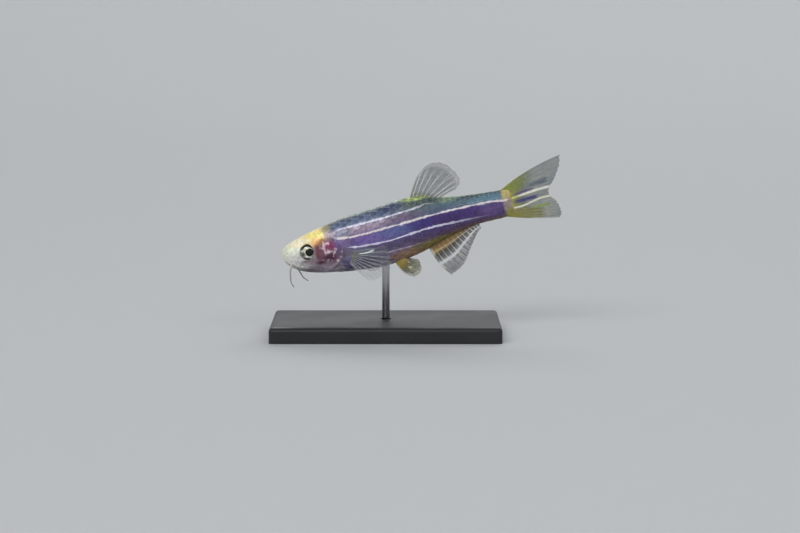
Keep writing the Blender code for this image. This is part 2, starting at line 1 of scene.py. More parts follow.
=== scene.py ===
# %% [markdown]
# # A zebra danio over its display stand
#
# The solids of the fish and its stand are already made, at life size and in their final pose.
# This lesson dresses them. A living danio has one skin from lips to tail, a coat of thin round
# scales, glassy eyes and fins that are hardly more than clear film stretched over fine rays.
# None of that needs to carry load, so it is all made here, around the fixed frame of the solids.

# %% Load the fixed frame
import json
import math

import bpy
import numpy as np
from mathutils import Matrix, Vector

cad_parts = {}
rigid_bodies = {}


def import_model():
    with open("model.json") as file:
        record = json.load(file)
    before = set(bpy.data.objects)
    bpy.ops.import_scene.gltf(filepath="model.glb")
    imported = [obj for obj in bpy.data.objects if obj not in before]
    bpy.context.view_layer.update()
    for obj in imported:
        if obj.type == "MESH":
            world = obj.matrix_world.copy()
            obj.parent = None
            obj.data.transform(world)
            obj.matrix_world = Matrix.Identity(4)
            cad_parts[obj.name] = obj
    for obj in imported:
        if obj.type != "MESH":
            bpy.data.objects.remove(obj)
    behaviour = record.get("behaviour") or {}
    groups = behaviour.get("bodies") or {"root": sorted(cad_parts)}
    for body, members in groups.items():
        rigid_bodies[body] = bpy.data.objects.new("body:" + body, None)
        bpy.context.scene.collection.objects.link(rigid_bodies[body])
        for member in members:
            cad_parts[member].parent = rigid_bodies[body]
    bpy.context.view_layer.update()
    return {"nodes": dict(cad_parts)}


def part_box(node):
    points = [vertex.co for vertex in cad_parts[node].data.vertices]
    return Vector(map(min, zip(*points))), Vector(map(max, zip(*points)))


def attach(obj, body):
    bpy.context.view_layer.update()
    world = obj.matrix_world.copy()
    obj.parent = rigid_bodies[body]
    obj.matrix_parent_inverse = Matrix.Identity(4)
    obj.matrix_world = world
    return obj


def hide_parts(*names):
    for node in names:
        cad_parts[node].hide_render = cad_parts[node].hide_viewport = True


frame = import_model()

MM = 0.001
print("solids to dress:", len(frame["nodes"]))

# %% [markdown]
# ## The straight fish and its pose
#
# Everything on a fish is easiest to describe while it lies straight: how far along from the
# snout, how far out to the side and how far up. The same few landmarks as those of the solids
# give the body's height, depth and width at any place. A finished piece is then bent and tilted
# by one function, so that skin, scales and fins all take the same pose.

# %% Describe the straight body
BODY_LENGTH = 36.0 * MM
BODY_LANDMARKS = np.array([  # along, back, belly, half width, widest height
    (0.0, 0.00, 0.00, 0.00, 0.00),
    (0.6, 1.04, 1.60, 0.95, -0.25),
    (2.2, 1.80, 2.92, 1.55, -0.40),
    (4.2, 2.34, 3.70, 2.05, -0.45),
    (7.2, 3.02, 4.36, 2.45, -0.40),
    (10.8, 3.60, 4.86, 2.65, -0.35),
    (16.2, 4.06, 5.17, 2.65, -0.30),
    (21.6, 4.40, 4.43, 2.15, -0.10),
    (25.9, 3.42, 3.13, 1.55, 0.00),
    (31.0, 2.68, 2.16, 0.98, 0.15),
    (36.0, 2.25, 2.09, 0.50, 0.08),
]) * MM
BACK_SQUARENESS = 2.15
BELLY_SQUARENESS = 2.1


def body_at(along):
    """Back, belly, half width and widest height at many places along, as four arrays."""
    knots = np.sqrt(BODY_LANDMARKS[:, 0] / BODY_LENGTH)
    t = np.sqrt(np.clip(np.asarray(along, float) / BODY_LENGTH, 0.0, 1.0))
    span = np.clip(np.searchsorted(knots, t, side="right") - 1, 0, len(knots) - 2)
    width = knots[span + 1] - knots[span]
    f = (t - knots[span]) / width
    low = np.maximum(np.arange(len(knots)) - 1, 0)
    high = np.minimum(np.arange(len(knots)) + 1, len(knots) - 1)
    values = []
    for level in BODY_LANDMARKS[:, 1:].T:
        slopes = (level[high] - level[low]) / (knots[high] - knots[low])
        values.append(
            level[span] * (2 * f**3 - 3 * f**2 + 1)
            + level[span + 1] * (3 * f**2 - 2 * f**3)
            + width * (slopes[span] * (f**3 - 2 * f**2 + f) + slopes[span + 1] * (f**3 - f**2))
        )
    return values


def body_surface(along, angle, inset=0.0):
    """Points of the body's surface; angle 0 is the right side and a quarter turn the back."""
    back, belly, half_width, widest = body_at(along)
    above = np.sin(angle) >= 0
    power = 2 / np.where(above, BACK_SQUARENESS, BELLY_SQUARENESS)
    reach = np.where(above, back - widest, belly + widest) - inset
    out = np.sign(np.cos(angle)) * np.abs(np.cos(angle)) ** power
    up = np.sign(np.sin(angle)) * np.abs(np.sin(angle)) ** power
    return np.stack([along, out * (half_width - inset), widest + up * reach], axis=-1)


print("girth at the belly:", round(float(body_at(16 * MM)[2]) * 2 / MM, 1), "mm wide")

# %% [markdown]
# The model swims head down with its tail swept to one side. A bend that grows with the square of
# the distance from the rod keeps the fish over its rod, and a turn of each slice keeps its width.

# %% Bend and tilt a finished piece
PITCH = math.radians(13.0)
ROD_PLACE = 15.7 * MM
SNOUT_HEIGHT = 12.5 * MM
TAIL_SWEEP = 3.4 * MM


def posed(points):
    """Points of the straight fish in their final place over the stand."""
    along, side, up = np.asarray(points, float).T
    away = (along - ROD_PLACE) / BODY_LENGTH
    heading = np.arctan(2 * TAIL_SWEEP * away / BODY_LENGTH)
    x = along - side * np.sin(heading)
    y = TAIL_SWEEP * away**2 + side * np.cos(heading)
    belly = float(body_at(ROD_PLACE)[1])
    snout_x = -(ROD_PLACE * math.cos(PITCH) + belly * math.sin(PITCH))
    return np.stack([
        snout_x + x * math.cos(PITCH) - up * math.sin(PITCH),
        y,
        SNOUT_HEIGHT + x * math.sin(PITCH) + up * math.cos(PITCH),
    ], axis=-1)


snout = posed([(0.0, 0.0, 0.0)])[0]
print("snout at", np.round(snout / MM, 2), "mm")

# %% [markdown]
# ## The camera
#
# The photograph was taken from almost level, through a long lens, a little above the fish. The
# snout's pixel and the fish's length in pixels fix where the camera looks and how far it stands.

# %% Set up the camera
IMAGE_WIDTH, IMAGE_HEIGHT = 800, 533
SNOUT_PIXEL = (281.5, 255.3)
BODY_PIXELS = 228.3
CAMERA_ELEVATION = math.radians(7.0)
LENS, SENSOR = 100.0, 36.0  # millimetres

pixel = BODY_LENGTH / BODY_PIXELS
distance = pixel * IMAGE_WIDTH * LENS / SENSOR
looking = Vector((0.0, math.cos(CAMERA_ELEVATION), -math.sin(CAMERA_ELEVATION)))
upward = Vector((0.0, math.sin(CAMERA_ELEVATION), math.cos(CAMERA_ELEVATION)))
aim = Vector(snout)
aim += Vector((1.0, 0.0, 0.0)) * (IMAGE_WIDTH / 2 - SNOUT_PIXEL[0]) * pixel
aim += upward * (SNOUT_PIXEL[1] - IMAGE_HEIGHT / 2) * pixel

camera_data = bpy.data.cameras.new("camera")
camera_data.lens = LENS
camera_data.sensor_width = SENSOR
camera_data.clip_start = 0.01
camera = bpy.data.objects.new("camera", camera_data)
camera.location = aim - looking * distance
camera.rotation_euler = looking.to_track_quat("-Z", "Y").to_euler()
bpy.context.scene.collection.objects.link(camera)
bpy.context.scene.camera = camera
bpy.context.scene.view_settings.view_transform = "Standard"
print("camera", round(distance, 3), "m away, each pixel", round(pixel / MM, 3), "mm")

# %% [markdown]
# ## Where the stripes run
#
# A danio's stripes are the same on both sides. Each follows the body from the gill cover toward
# the tail, so a plain height above the belly can't draw them. Instead every point of the skin
# gets a lie: a number that is 0 on the belly line, 1 to 4 on the four pale stripes from the
# lowest up, and 5 on the ridge of the back. The materials then only need that number.

# %% Measure the lie of the stripes
STRIPE_ROUTES = (  # along and up in millimetres, lowest stripe first
    ((8.0, -3.2), (17.3, -2.97), (20.7, -2.9), (22.8, -2.7), (27.0, -1.95), (31.0, -1.6),
     (36.0, -1.45)),
    ((8.0, -0.75), (10.7, -0.77), (12.5, -1.1), (17.3, -1.25), (22.4, -0.82), (24.9, -0.75),
     (29.5, -0.93), (34.0, -1.12), (36.0, -1.2)),
    ((8.0, 1.0), (9.1, 0.95), (11.4, 0.66), (15.3, 0.73), (18.4, 0.86), (22.5, 1.05),
     (26.4, 1.12), (30.3, 1.08), (33.8, 0.95), (36.0, 0.62)),
    ((8.0, 1.95), (9.8, 2.2), (14.1, 2.34), (17.2, 2.42), (21.0, 2.69), (22.9, 2.82),
     (23.8, 3.05), (28.0, 2.1), (36.0, 1.55)),
)


def stripe_level(route, along):
    route = np.array(route) * MM
    return np.interp(along, route[:, 0], route[:, 1])


def stripe_lie(along, up):
    """The lie between the belly line and the ridge of the back, for arrays of places."""
    back, belly, _, _ = body_at(along)
    levels = [-belly]
    for route in STRIPE_ROUTES:
        levels.append(np.clip(stripe_level(route, along), -belly * 0.92, back * 0.92))
    levels.append(back)
    lie = np.zeros_like(up)
    for step, (low, high) in enumerate(zip(levels, levels[1:])):
        share = (up - low) / np.maximum(high - low, 1e-6)
        lie = np.where(share > 0, step + np.clip(share, 0.0, 1.0), lie)
    return lie


print("lie half way up the middle of the body:", stripe_lie(np.array([0.018]), np.array([0.0])))

# %% [markdown]
# ## Making meshes
#
# All pieces are made straight, marked, and then posed. The marks are values on every vertex,
# stored before the bend, so that a pattern stays on the skin whatever the pose is.

# %% Helpers for meshes
def new_object(name, mesh):
    made = bpy.data.objects.new(name, mesh)
    bpy.context.scene.collection.objects.link(made)
    return made


def mesh_from(name, vertices, faces, edges=()):
    mesh = bpy.data.meshes.new(name)
    mesh.from_pydata(np.asarray(vertices).tolist(), list(edges), faces)
    mesh.update()
    return mesh


def ring_faces(rings, sides, flipped=False, closed=True):
    """Faces of rings of points between a first point, number 0, and a last one."""
    faces = []
    for ring in range(rings - 1):
        here, following = 1 + ring * sides, 1 + (ring + 1) * sides
        for side in range(sides):
            after = (side + 1) % sides
            faces.append((here + side, following + side, following + after, here + after))
    end = 1 + rings * sides
    for side in range(sides):
        after = (side + 1) % sides
        faces.append((0, 1 + side, 1 + after))
        if closed:
            faces.append((end, end - sides + after, end - sides + side))
    return [face[::-1] for face in faces] if flipped else faces


def turned_mesh(name, profile, segments, is_bowl=False):
    """A profile of radii and heights turned round: a closed piece, or a bowl seen from inside."""
    rings = profile[1:] if is_bowl else profile[1:-1]
    around = np.linspace(0.0, 2 * math.pi, segments, endpoint=False)
    points = [(0.0, 0.0, profile[0][1])]
    for radius, height in rings:
        points += [(radius * math.cos(a), radius * math.sin(a), height) for a in around]
    if not is_bowl:
        points.append((0.0, 0.0, profile[-1][1]))
    return mesh_from(name, points, ring_faces(len(rings), segments, not is_bowl, not is_bowl))


def vertex_places(mesh):
    places = np.empty(len(mesh.vertices) * 3, np.float32)
    mesh.vertices.foreach_get("co", places)
    return places.reshape(-1, 3).astype(float)


def set_vertex_places(mesh, places):
    mesh.vertices.foreach_set("co", np.asarray(places, np.float32).ravel())
    mesh.update()


def store(mesh, name, values, kind="FLOAT_VECTOR"):
    """Stores one value for each vertex under a name that materials and node trees can read."""
    layer = mesh.attributes.get(name) or mesh.attributes.new(name, kind, "POINT")
    channel = "vector" if kind == "FLOAT_VECTOR" else "value"
    layer.data.foreach_set(channel, np.asarray(values, np.float32).ravel())


def pose_mesh(mesh):
    set_vertex_places(mesh, posed(vertex_places(mesh)))


def plain_mesh(obj):
    """The object as its modifiers make it, with the modifiers gone."""
    graph = bpy.context.evaluated_depsgraph_get()
    mesh = bpy.data.meshes.new_from_object(obj.evaluated_get(graph))
    obj.modifiers.clear()
    obj.data = mesh
    return obj


def finish_piece(obj, material, slot, *nodes):
    """Smooths a piece, dresses it, and lets it ride with the model in place of its solids."""
    obj.data.materials.clear()
    obj.data.materials.append(material)
    obj.data.shade_smooth()
    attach(obj, "root")
    if nodes:
        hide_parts(*nodes)
    print(obj.name, len(obj.data.polygons), "faces")


# %% [markdown]
# ## Wiring materials
#
# A material is a small graph. These helpers keep each graph readable as a formula: a number or a
# colour can stand wherever a wire can, and a colour is written as it looks on screen and turned
# into the linear values that the shader wants.

# %% Helpers for shader graphs
def tint(code):
    """A colour as it looks on screen, such as 3c2a80, as linear red, green, blue and alpha."""
    parts = [int(code[n:n + 2], 16) / 255 for n in (0, 2, 4)]
    linear = [c / 12.92 if c <= 0.04045 else ((c + 0.055) / 1.055) ** 2.4 for c in parts]
    return (*linear, 1.0)


def plug(tree, value, socket):
    if isinstance(value, bpy.types.NodeSocket):
        tree.links.new(value, socket)
    else:
        socket.default_value = value


def wire(tree, node, **values):
    """Plugs values or wires into a node by the names of its sockets."""
    for label, value in values.items():
        plug(tree, value, node.inputs[label.replace("_", " ")])
    return node


def add(tree, kind, **values):
    """A new node with its inputs plugged."""
    return wire(tree, tree.nodes.new(kind), **values)


def maths(tree, operation, *values, kind="Math"):
    node = tree.nodes.new(f"ShaderNode{kind}")
    node.operation = operation
    for value, socket in zip(values, node.inputs):
        plug(tree, value, socket)
    return node.outputs[0]


def times(tree, first, *others):
    """The product of two or more values."""
    for other in others:
        first = maths(tree, "MULTIPLY", first, other)
    return first


def length_of(tree, across, rise):
    """How far a place lies from the middle, from its two parts."""
    return maths(tree, "SQRT", maths(tree, "ADD", times(tree, across, across),
                                     times(tree, rise, rise)))


def fade(tree, value, start, end, to_start=0.0, to_end=1.0):
    """A soft step of a value from one place to another, which may run downward."""
    node = tree.nodes.new("ShaderNodeMapRange")
    node.interpolation_type = "SMOOTHSTEP"
    for n, item in enumerate((value, start, end, to_start, to_end)):
        plug(tree, item, node.inputs[n])
    return node.outputs[0]


def blend(tree, share, below, above, mode="MIX"):
    node = tree.nodes.new("ShaderNodeMix")
    node.data_type = "RGBA"
    node.blend_type = mode
    plug(tree, share, node.inputs[0])
    plug(tree, below, node.inputs[6])
    plug(tree, above, node.inputs[7])
    return node.outputs[2]


def bands(tree, value, stops):
    """A colour ramp from pairs of place and screen colour."""
    node = tree.nodes.new("ShaderNodeValToRGB")
    elements = node.color_ramp.elements
    while len(elements) < len(stops):
        elements.new(0.5)
    for element, (place, code) in zip(elements, stops):
        element.position = place
        element.color = tint(code)
    plug(tree, value, node.inputs[0])
    return node.outputs[0]


def noise(tree, place, scale, detail=2.0, stretch=(1.0, 1.0, 1.0)):
    mapped = add(tree, "ShaderNodeMapping", Vector=place, Scale=stretch).outputs[0]
    texture = add(tree, "ShaderNodeTexNoise", Vector=mapped, Scale=scale, Detail=detail)
    return texture.outputs["Fac"]


def object_place(tree):
    """The place on the finished piece, for patterns that don't follow the skin."""
    return tree.nodes.new("ShaderNodeTexCoord").outputs["Object"]


def parts_of(tree, value):
    return tuple(add(tree, "ShaderNodeSeparateXYZ", Vector=value).outputs)


def stored(tree, name):
    """A value that is stored on the vertices, as a colour or a vector."""
    node = tree.nodes.new("ShaderNodeAttribute")
    node.attribute_name = name
    return node.outputs["Vector"]


def mark(tree, name):
    """The three parts of a vector that is stored on the vertices."""
    return parts_of(tree, stored(tree, name))


def spot(tree, along, up, centre, radii, softness=0.6):
    """A soft round patch on the side of the fish, 1 in its middle."""
    across = maths(tree, "DIVIDE", maths(tree, "SUBTRACT", along, centre[0]), radii[0])
    rise = maths(tree, "DIVIDE", maths(tree, "SUBTRACT", up, centre[1]), radii[1])
    return fade(tree, length_of(tree, across, rise), 1.0 + softness / 2, 1.0 - softness / 2)


def new_group(name, kind, inputs, outputs):
    """An empty node group with named sockets, each given with its kind."""
    tree = bpy.data.node_groups.new(name, f"{kind}NodeTree")
    for in_out, sockets in (("INPUT", inputs), ("OUTPUT", outputs)):
        for label, socket in sockets.items():
            tree.interface.new_socket(label, in_out=in_out, socket_type=f"NodeSocket{socket}")
    return tree, tree.nodes.new("NodeGroupInput"), tree.nodes.new("NodeGroupOutput")


def place_group(tree, group, **values):
    node = tree.nodes.new("ShaderNodeGroup")
    node.node_tree = group
    return wire(tree, node, **values)


def new_material(name, **settings):
    """A material whose plain values are set on the shader's own sockets."""
    material = bpy.data.materials.new(name)
    material.use_nodes = True
    surface = material.node_tree.nodes["Principled BSDF"]
    return material, material.node_tree, wire(material.node_tree, surface, **settings)


def give_relief(tree, surface, height, strength, depth):
    """Bumps the surface a little, by the height that a texture gives."""
    relief = add(tree, "ShaderNodeBump", Strength=strength, Distance=depth, Height=height)
    wire(tree, surface, Normal=relief.outputs[0])


print("middle grey in linear light:", round(tint("808080")[0], 3))

# %% [markdown]
# ## The colours of a living danio
#
# The broad zones of colour are soft, so they are worked out once for every vertex. Along the
# flank they are bands over the lie, each with a tint in front and one toward the tail, with soft
# patches over them; along the lower edge of belly, chest and throat the pale lilac is partly
# painted fill light from below. The head is all patches: cream snout, golden crown, orange and
# maroon cheek, and painted highlights on the gill cover, as pale bars and glints. Skin and scales
# get their tints from the same functions, so the markings run through both.

# %% Choose the zones of colour
FLANK_BANDS = {  # lie, tint in front and tint toward the tail
    # the front tint of the belly line is its pale lilac, painted lighter as fill light from below
    "belly line": (0.00, "c6c0cc", "80705c"),
    "belly": (0.35, "7e788e", "6c5654"),
    "below the lowest stripe": (1.00, "6e6482", "553e5a"),
    "above the lowest stripe": (1.60, "685c78", "483664"),
    "lower violet": (2.10, "75659c", "4b376a"),
    "violet": (2.50, "74629c", "46336a"),
    "upper violet": (2.90, "76629a", "4e3c74"),
    "lower mauve": (3.10, "8c7e9e", "5a6884"),
    "mauve": (3.50, "9c8698", "566474"),
    "upper mauve": (3.90, "8a7e94", "546a78"),
    "lower back": (4.15, "68708e", "53666f"),
    "back": (4.50, "666e8c", "4e5e60"),
    "upper back": (4.88, "626c80", "526466"),
    "ridge": (5.00, "ccd4c4", "c8d2b4"),
}
FRONT_END, REAR_START = 13.0, 27.0  # where the tints begin and stop to change
FLANK_PATCHES = {  # centre and radii in millimetres, softness, tint, strength
    "blue middle": ((18.6, 0.1), (2.9, 0.95), 1.1, "666f9e", 0.75),
    "deep blue middle": ((22.6, 0.2), (2.4, 0.8), 1.1, "453c80", 0.70),
    "dark back": ((18.6, 3.3), (2.6, 0.70), 1.1, "3a4266", 0.80),
    "grey-green back": ((23.0, 3.3), (3.2, 0.80), 1.0, "4c5a4e", 0.85),
    "plum upper middle": ((19.8, 1.7), (2.4, 0.75), 1.1, "6e5a74", 0.60),
    "grey of the shoulder": ((9.9, 1.35), (1.7, 0.8), 1.0, "848698", 0.85),
    "grey side of the chest": ((12.6, -2.3), (2.2, 0.9), 1.1, "747882", 0.80),
    "ochre belly": ((19.8, -4.3), (3.1, 1.0), 1.1, "a8846c", 0.90),
    "ochre base of the anal fin": ((26.2, -3.4), (5.2, 0.85), 0.9, "8c8048", 0.90),
    "green-gold base of the dorsal fin": ((23.2, 4.25), (2.7, 0.42), 0.9, "d8e692", 0.95),
    "pale back behind the dorsal fin": ((27.6, 2.9), (1.8, 0.4), 1.1, "a2b490", 0.60),
    "root of the pectoral fin": ((11.4, -2.6), (1.2, 0.6), 1.1, "8f8c7c", 0.80),
    "behind the gill cover": ((10.3, -1.2), (0.9, 1.1), 1.2, "6c6270", 0.70),
    "lilac of the chest": ((10.8, -3.2), (1.8, 0.9), 1.2, "716892", 0.75),
    # partly the chest's own pale lilac edge, partly painted fill light from below
    "pale chest edge with painted fill light": ((11.5, -4.75), (6.0, 0.40), 1.0, "aca2b8", 0.80),
    "plum behind the gill cover": ((10.4, 0.1), (0.9, 0.6), 1.2, "7c6a8c", 0.70),
    "blue of the tail stalk": ((33.6, 1.5), (2.4, 0.8), 1.0, "7296a8", 0.65),
    "violet of the tail stalk": ((34.2, -0.3), (2.4, 0.9), 1.0, "6c5686", 0.70),
    "cream tail root": ((36.85, 1.45), (1.10, 1.5), 0.35, "c4b47e", 0.95),
    "lilac tail root": ((36.55, -0.3), (0.80, 1.15), 0.35, "a3938c", 0.95),
    "olive lower tail root": ((36.9, -1.55), (0.95, 0.80), 0.7, "9a9658", 0.95),
    "pale rear of the tail root": ((37.7, -0.5), (0.55, 0.9), 0.9, "b0b06e", 0.90),
    "olive upper tail root": ((37.8, 1.3), (0.60, 1.4), 0.9, "a2a054", 0.90),
}
HEAD_TINT = "8d828e"
HEAD_EDGE = (9.7, 8.1)  # the tints of the head begin and are full at these places
HEAD_EDGE_LEAN = 0.12
HEAD_PATCHES = {
    "snout": ((0.9, 0.2), (2.9, 2.2), 1.0, "e2e4d0", 1.0),
    "jaw": ((2.2, -1.5), (2.5, 1.5), 1.1, "cfcdcb", 0.95),
    "crown": ((4.9, 2.3), (3.9, 1.5), 0.7, "fae8b2", 1.0),
    "gold of the crown": ((5.9, 2.0), (1.3, 0.8), 1.2, "ffee9e", 1.0),
    "pale brow": ((3.1, 1.5), (1.6, 0.6), 1.1, "f4ead0", 0.9),
    "back of the crown": ((8.3, 2.8), (1.1, 0.9), 1.0, "958d78", 0.9),
    "nape": ((8.2, 1.75), (0.8, 0.45), 1.1, "b3a0ac", 0.9),
    "orange behind the eye": ((6.1, 1.0), (0.90, 0.70), 1.2, "f6c68c", 1.0),
    "olive behind the eye": ((6.95, 0.85), (0.65, 0.5), 1.1, "a8803c", 0.95),
    "maroon cheek": ((6.15, -0.6), (0.55, 1.5), 0.9, "7d4648", 0.95),
    "lower cheek": ((6.1, -1.9), (0.9, 0.7), 1.0, "4a2232", 0.95),
    "gill cover": ((8.0, -0.7), (1.9, 1.9), 0.5, "7c566a", 0.9),
    "dark of the gill cover": ((7.7, -1.7), (0.95, 0.6), 1.0, "4d2c40", 0.95),
    "magenta of the gill cover": ((8.1, 0.1), (0.8, 0.65), 0.9, "8e4668", 0.95),
    "rear of the gill cover": ((9.2, -1.1), (0.6, 0.9), 1.0, "72596c", 0.8),
    # the two pale bars are painted highlights on the gill cover
    "upright painted highlight": ((7.08, -0.15), (0.17, 0.95), 1.0, "ecccce", 0.85),
    "level painted highlight": ((7.65, -0.92), (0.62, 0.15), 1.0, "f0dce2", 0.85),
    "upper pale fleck": ((7.5, 0.45), (0.22, 0.16), 1.0, "e0bccb", 0.75),
    "silver before the eye": ((3.15, 0.45), (0.35, 0.32), 1.1, "eef0e0", 0.9),
    "mauve below the eye": ((4.4, -1.75), (1.5, 0.45), 1.1, "8c7c82", 0.8),
    "dark below the eye": ((4.2, -1.62), (0.9, 0.14), 1.1, "5f5058", 0.6),
    "rear glint": ((9.3, -1.95), (0.18, 0.18), 0.8, "f6eef4", 0.9),
    "lower glint": ((8.8, -2.55), (0.22, 0.15), 0.8, "ece0ea", 0.9),
    "throat": ((5.6, -3.3), (2.8, 0.6), 1.1, "92848f", 0.8),
    # partly the throat's own pale edge, partly painted fill light from below
    "pale throat edge with painted fill light": ((7.0, -4.1), (3.6, 0.5), 1.0, "bdb3c0", 0.85),
}


def soft_step(values, start, end):
    share = np.clip((values - start) / (end - start), 0.0, 1.0)
    return share * share * (3 - 2 * share)


def mix(below, above, share):
    return below + (np.asarray(above) - below) * np.asarray(share)[..., None]


def wander(along, up):
    """Shifts places a little, so that the edges of patches are as uneven as real ones."""
    shift_along = 0.06 * np.sin(4.3 * up + 2.1 * along) + 0.04 * np.sin(11.0 * up - 5.0 * along)
    shift_up = 0.06 * np.sin(3.9 * along + 1.7 * up) + 0.04 * np.sin(10.1 * along + 6.0 * up)
    return along + shift_along, up + shift_up


def add_patches(colours, patches, along, up):
    along, up = wander(along, up)
    for centre, radii, softness, code, strength in patches.values():
        radius = np.hypot((along - centre[0]) / radii[0], (up - centre[1]) / radii[1])
        share = strength * soft_step(radius, 1.0 + softness / 2, 1.0 - softness / 2)
        colours = mix(colours, tint(code)[:3], share)
    return colours


def zone_tints(along, lie, up):
    """The broad colour of each place, with along and up in millimetres."""
    lies = [band[0] for band in FLANK_BANDS.values()]
    front, rear = (
        np.stack([np.interp(lie, lies, part) for part in tints.T], axis=-1)
        for tints in (np.array([tint(band[n])[:3] for band in FLANK_BANDS.values()])
                      for n in (1, 2))
    )
    colours = mix(front, rear, soft_step(along, FRONT_END, REAR_START))
    colours = add_patches(colours, FLANK_PATCHES, along, up)
    head = np.broadcast_to(tint(HEAD_TINT)[:3], colours.shape)
    head = add_patches(head, HEAD_PATCHES, along, up)
    return mix(colours, head, soft_step(along + HEAD_EDGE_LEAN * up, *HEAD_EDGE))


print("patches on the head:", len(HEAD_PATCHES))

# %% [markdown]
# The four pale stripes are thin and sharp, far finer than the spacing of the vertices. So a
# vertex only stores how far it is from the nearest stripe, which the mesh can carry exactly,
# and the material draws the line from that distance. Half way between two stripes the nearest
# one changes, so a stripe's strength is nothing there.

# %% Mark the body
STRIPES = (  # from and to along, fade in and out, strength, how creamy
    (15.5, 23.0, 1.8, 3.5, 0.42, 0.5),
    (10.4, 35.0, 1.2, 11.0, 1.00, 0.0),
    (8.9, 37.2, 0.7, 1.0, 1.00, 0.7),
    (9.3, 26.5, 0.9, 4.5, 0.64, 0.1),
)
STRIPE_GROUND = (0.62, 0.42)  # millimetres from a stripe where its strength begins and is full


def mark_body(mesh):
    """Stores each vertex's place on the straight body, its tint and its nearest stripe."""
    along, _, up = vertex_places(mesh).T
    lie = stripe_lie(along, up)
    marks = np.stack([along / MM, lie, up / MM], axis=-1)
    store(mesh, "body_mark", marks)
    store(mesh, "body_tint", zone_tints(*marks.T))
    gaps = np.stack([(up - stripe_level(route, along)) / MM for route in STRIPE_ROUTES])
    nearest = np.abs(gaps).argmin(axis=0)
    strengths = []
    for start, end, fade_in, fade_out, strength, _ in STRIPES:
        there = soft_step(along / MM, start, start + fade_in)
        there = there * soft_step(along / MM, end, end - fade_out)
        strengths.append(strength * there)
    pick = (nearest, np.arange(len(nearest)))
    strength = np.array(strengths)[pick] * soft_step(np.abs(gaps[pick]), *STRIPE_GROUND)
    cream = np.array([stripe[-1] for stripe in STRIPES])[nearest]
    store(mesh, "stripe_mark", np.stack([gaps[pick], strength, cream], axis=-1))


print("pale stripes:", len(STRIPES))

# %% [markdown]
# The stripes, the fine grain and the painted glints on the gill cover are the same on skin and
# scales, so they are one node group with named inputs.

# %% Build the group of danio colours
STRIPE_HALF_WIDTH = 0.15  # millimetres, beaded a little along its way


def build_body_colours():
    tree, source, sink = new_group(
        "danio colours", "Shader",
        {"Tint": "Color", "Offset": "Float", "Strength": "Float", "Cream": "Float",
         "Gill": "Float", "Place": "Vector"},
        {"Colour": "Color", "Pearl": "Float"},
    )
    zone, offset, strength, cream, gill, place = source.outputs[:6]
    beads = noise(tree, place, 1100.0, 1.0)
    half = fade(tree, beads, 0.35, 0.65, STRIPE_HALF_WIDTH * 0.65, STRIPE_HALF_WIDTH * 1.3)
    grain = noise(tree, place, 2400.0, 3.0)
    waver = times(tree, maths(tree, "SUBTRACT", grain, 0.5), 0.16)
    off = maths(tree, "ABSOLUTE", maths(tree, "ADD", offset, waver))
    half = times(tree, half, fade(tree, strength, 0.0, 1.0, 0.55, 1.0))
    line = fade(tree, off, times(tree, half, 1.5), times(tree, half, 0.5))
    line = times(tree, line, strength)
    cloud = fade(tree, noise(tree, place, 420.0, 2.0), 0.30, 0.70, 0.86, 1.12)
    mottle = times(tree, cloud, fade(tree, grain, 0.25, 0.75, 0.82, 1.18))
    shaded = add(tree, "ShaderNodeHueSaturation", Saturation=1.08, Value=mottle, Color=zone)
    stripe = blend(tree, cream, tint("e8e0f2"), tint("f4e0da"))
    colour = blend(tree, line, shaded.outputs[0], stripe)
    # painted glints: pale pink noise flecks on the gill cover stand in for highlights
    painted_glints = fade(tree, noise(tree, place, 1700.0, 2.0), 0.58, 0.70)
    painted_glints = times(tree, painted_glints, gill, 0.7)
    colour = blend(tree, painted_glints, colour, tint("e6ccd8"))
    wire(tree, sink, Colour=colour, Pearl=maths(tree, "MAXIMUM", line, painted_glints))
    return tree


body_colours = build_body_colours()
print("body colour group:", len(body_colours.nodes), "nodes")

# %% [markdown]
# ## The skin
#
# One skin covers head and body, so no seam of the solids shows. It is a loft of many fine rings
# around the straight body, set in by the depth of the scales. The folds of the head are modelled
# by moving its points a little in or out: the slot of the mouth between its lips, the crease of
# the jaw, the nostrils, the rim round each eye and the raised, free edge of the gill cover.

# %% Loft the skin
RINGS = 300
SIDES = 208
COAT_DEPTH = 0.05 * MM
COAT_BEGINS, COAT_FULL = 6 * MM, 9 * MM  # the skin sinks here to make room for the scales
TONGUE_STEPS = 14
TAIL_TONGUE = 1.4 * MM  # how far the flesh runs out over the roots of the tail fin


def loft_skin():
    t = np.linspace(0.0, 1.0, RINGS + 1)[1:]
    along = BODY_LENGTH * t**2
    angles = np.linspace(0.0, 2 * math.pi, SIDES, endpoint=False)
    grid_along, grid_angle = np.meshgrid(along, angles, indexing="ij")
    inset = COAT_DEPTH * np.clip((grid_along - COAT_BEGINS) / (COAT_FULL - COAT_BEGINS), 0.0, 1.0)
    rings = list(body_surface(grid_along, grid_angle, inset))
    last = rings[-1]
    middle = last.mean(axis=0)
    for step in range(1, TONGUE_STEPS + 1):
        run = step / TONGUE_STEPS
        ring = middle + (last - middle) * [1.0, (1 - run) ** 0.75 + 0.06, 1 - 0.10 * run**2]
        ring[:, 0] += TAIL_TONGUE * run
        rings.append(ring)
    vertices = [np.zeros((1, 3))] + rings + [rings[-1].mean(axis=0)[None] + [0.1 * MM, 0, 0]]
    return mesh_from("skin", np.concatenate(vertices), ring_faces(len(rings), SIDES))


skin_mesh = loft_skin()
print("skin has", len(skin_mesh.vertices), "points")

# %% [markdown]
# The folds follow lines drawn on the side of the fish, in millimetres. Each vertex moves along
# its normal by a bump of its distance from a line, so the folds stay smooth at any density.

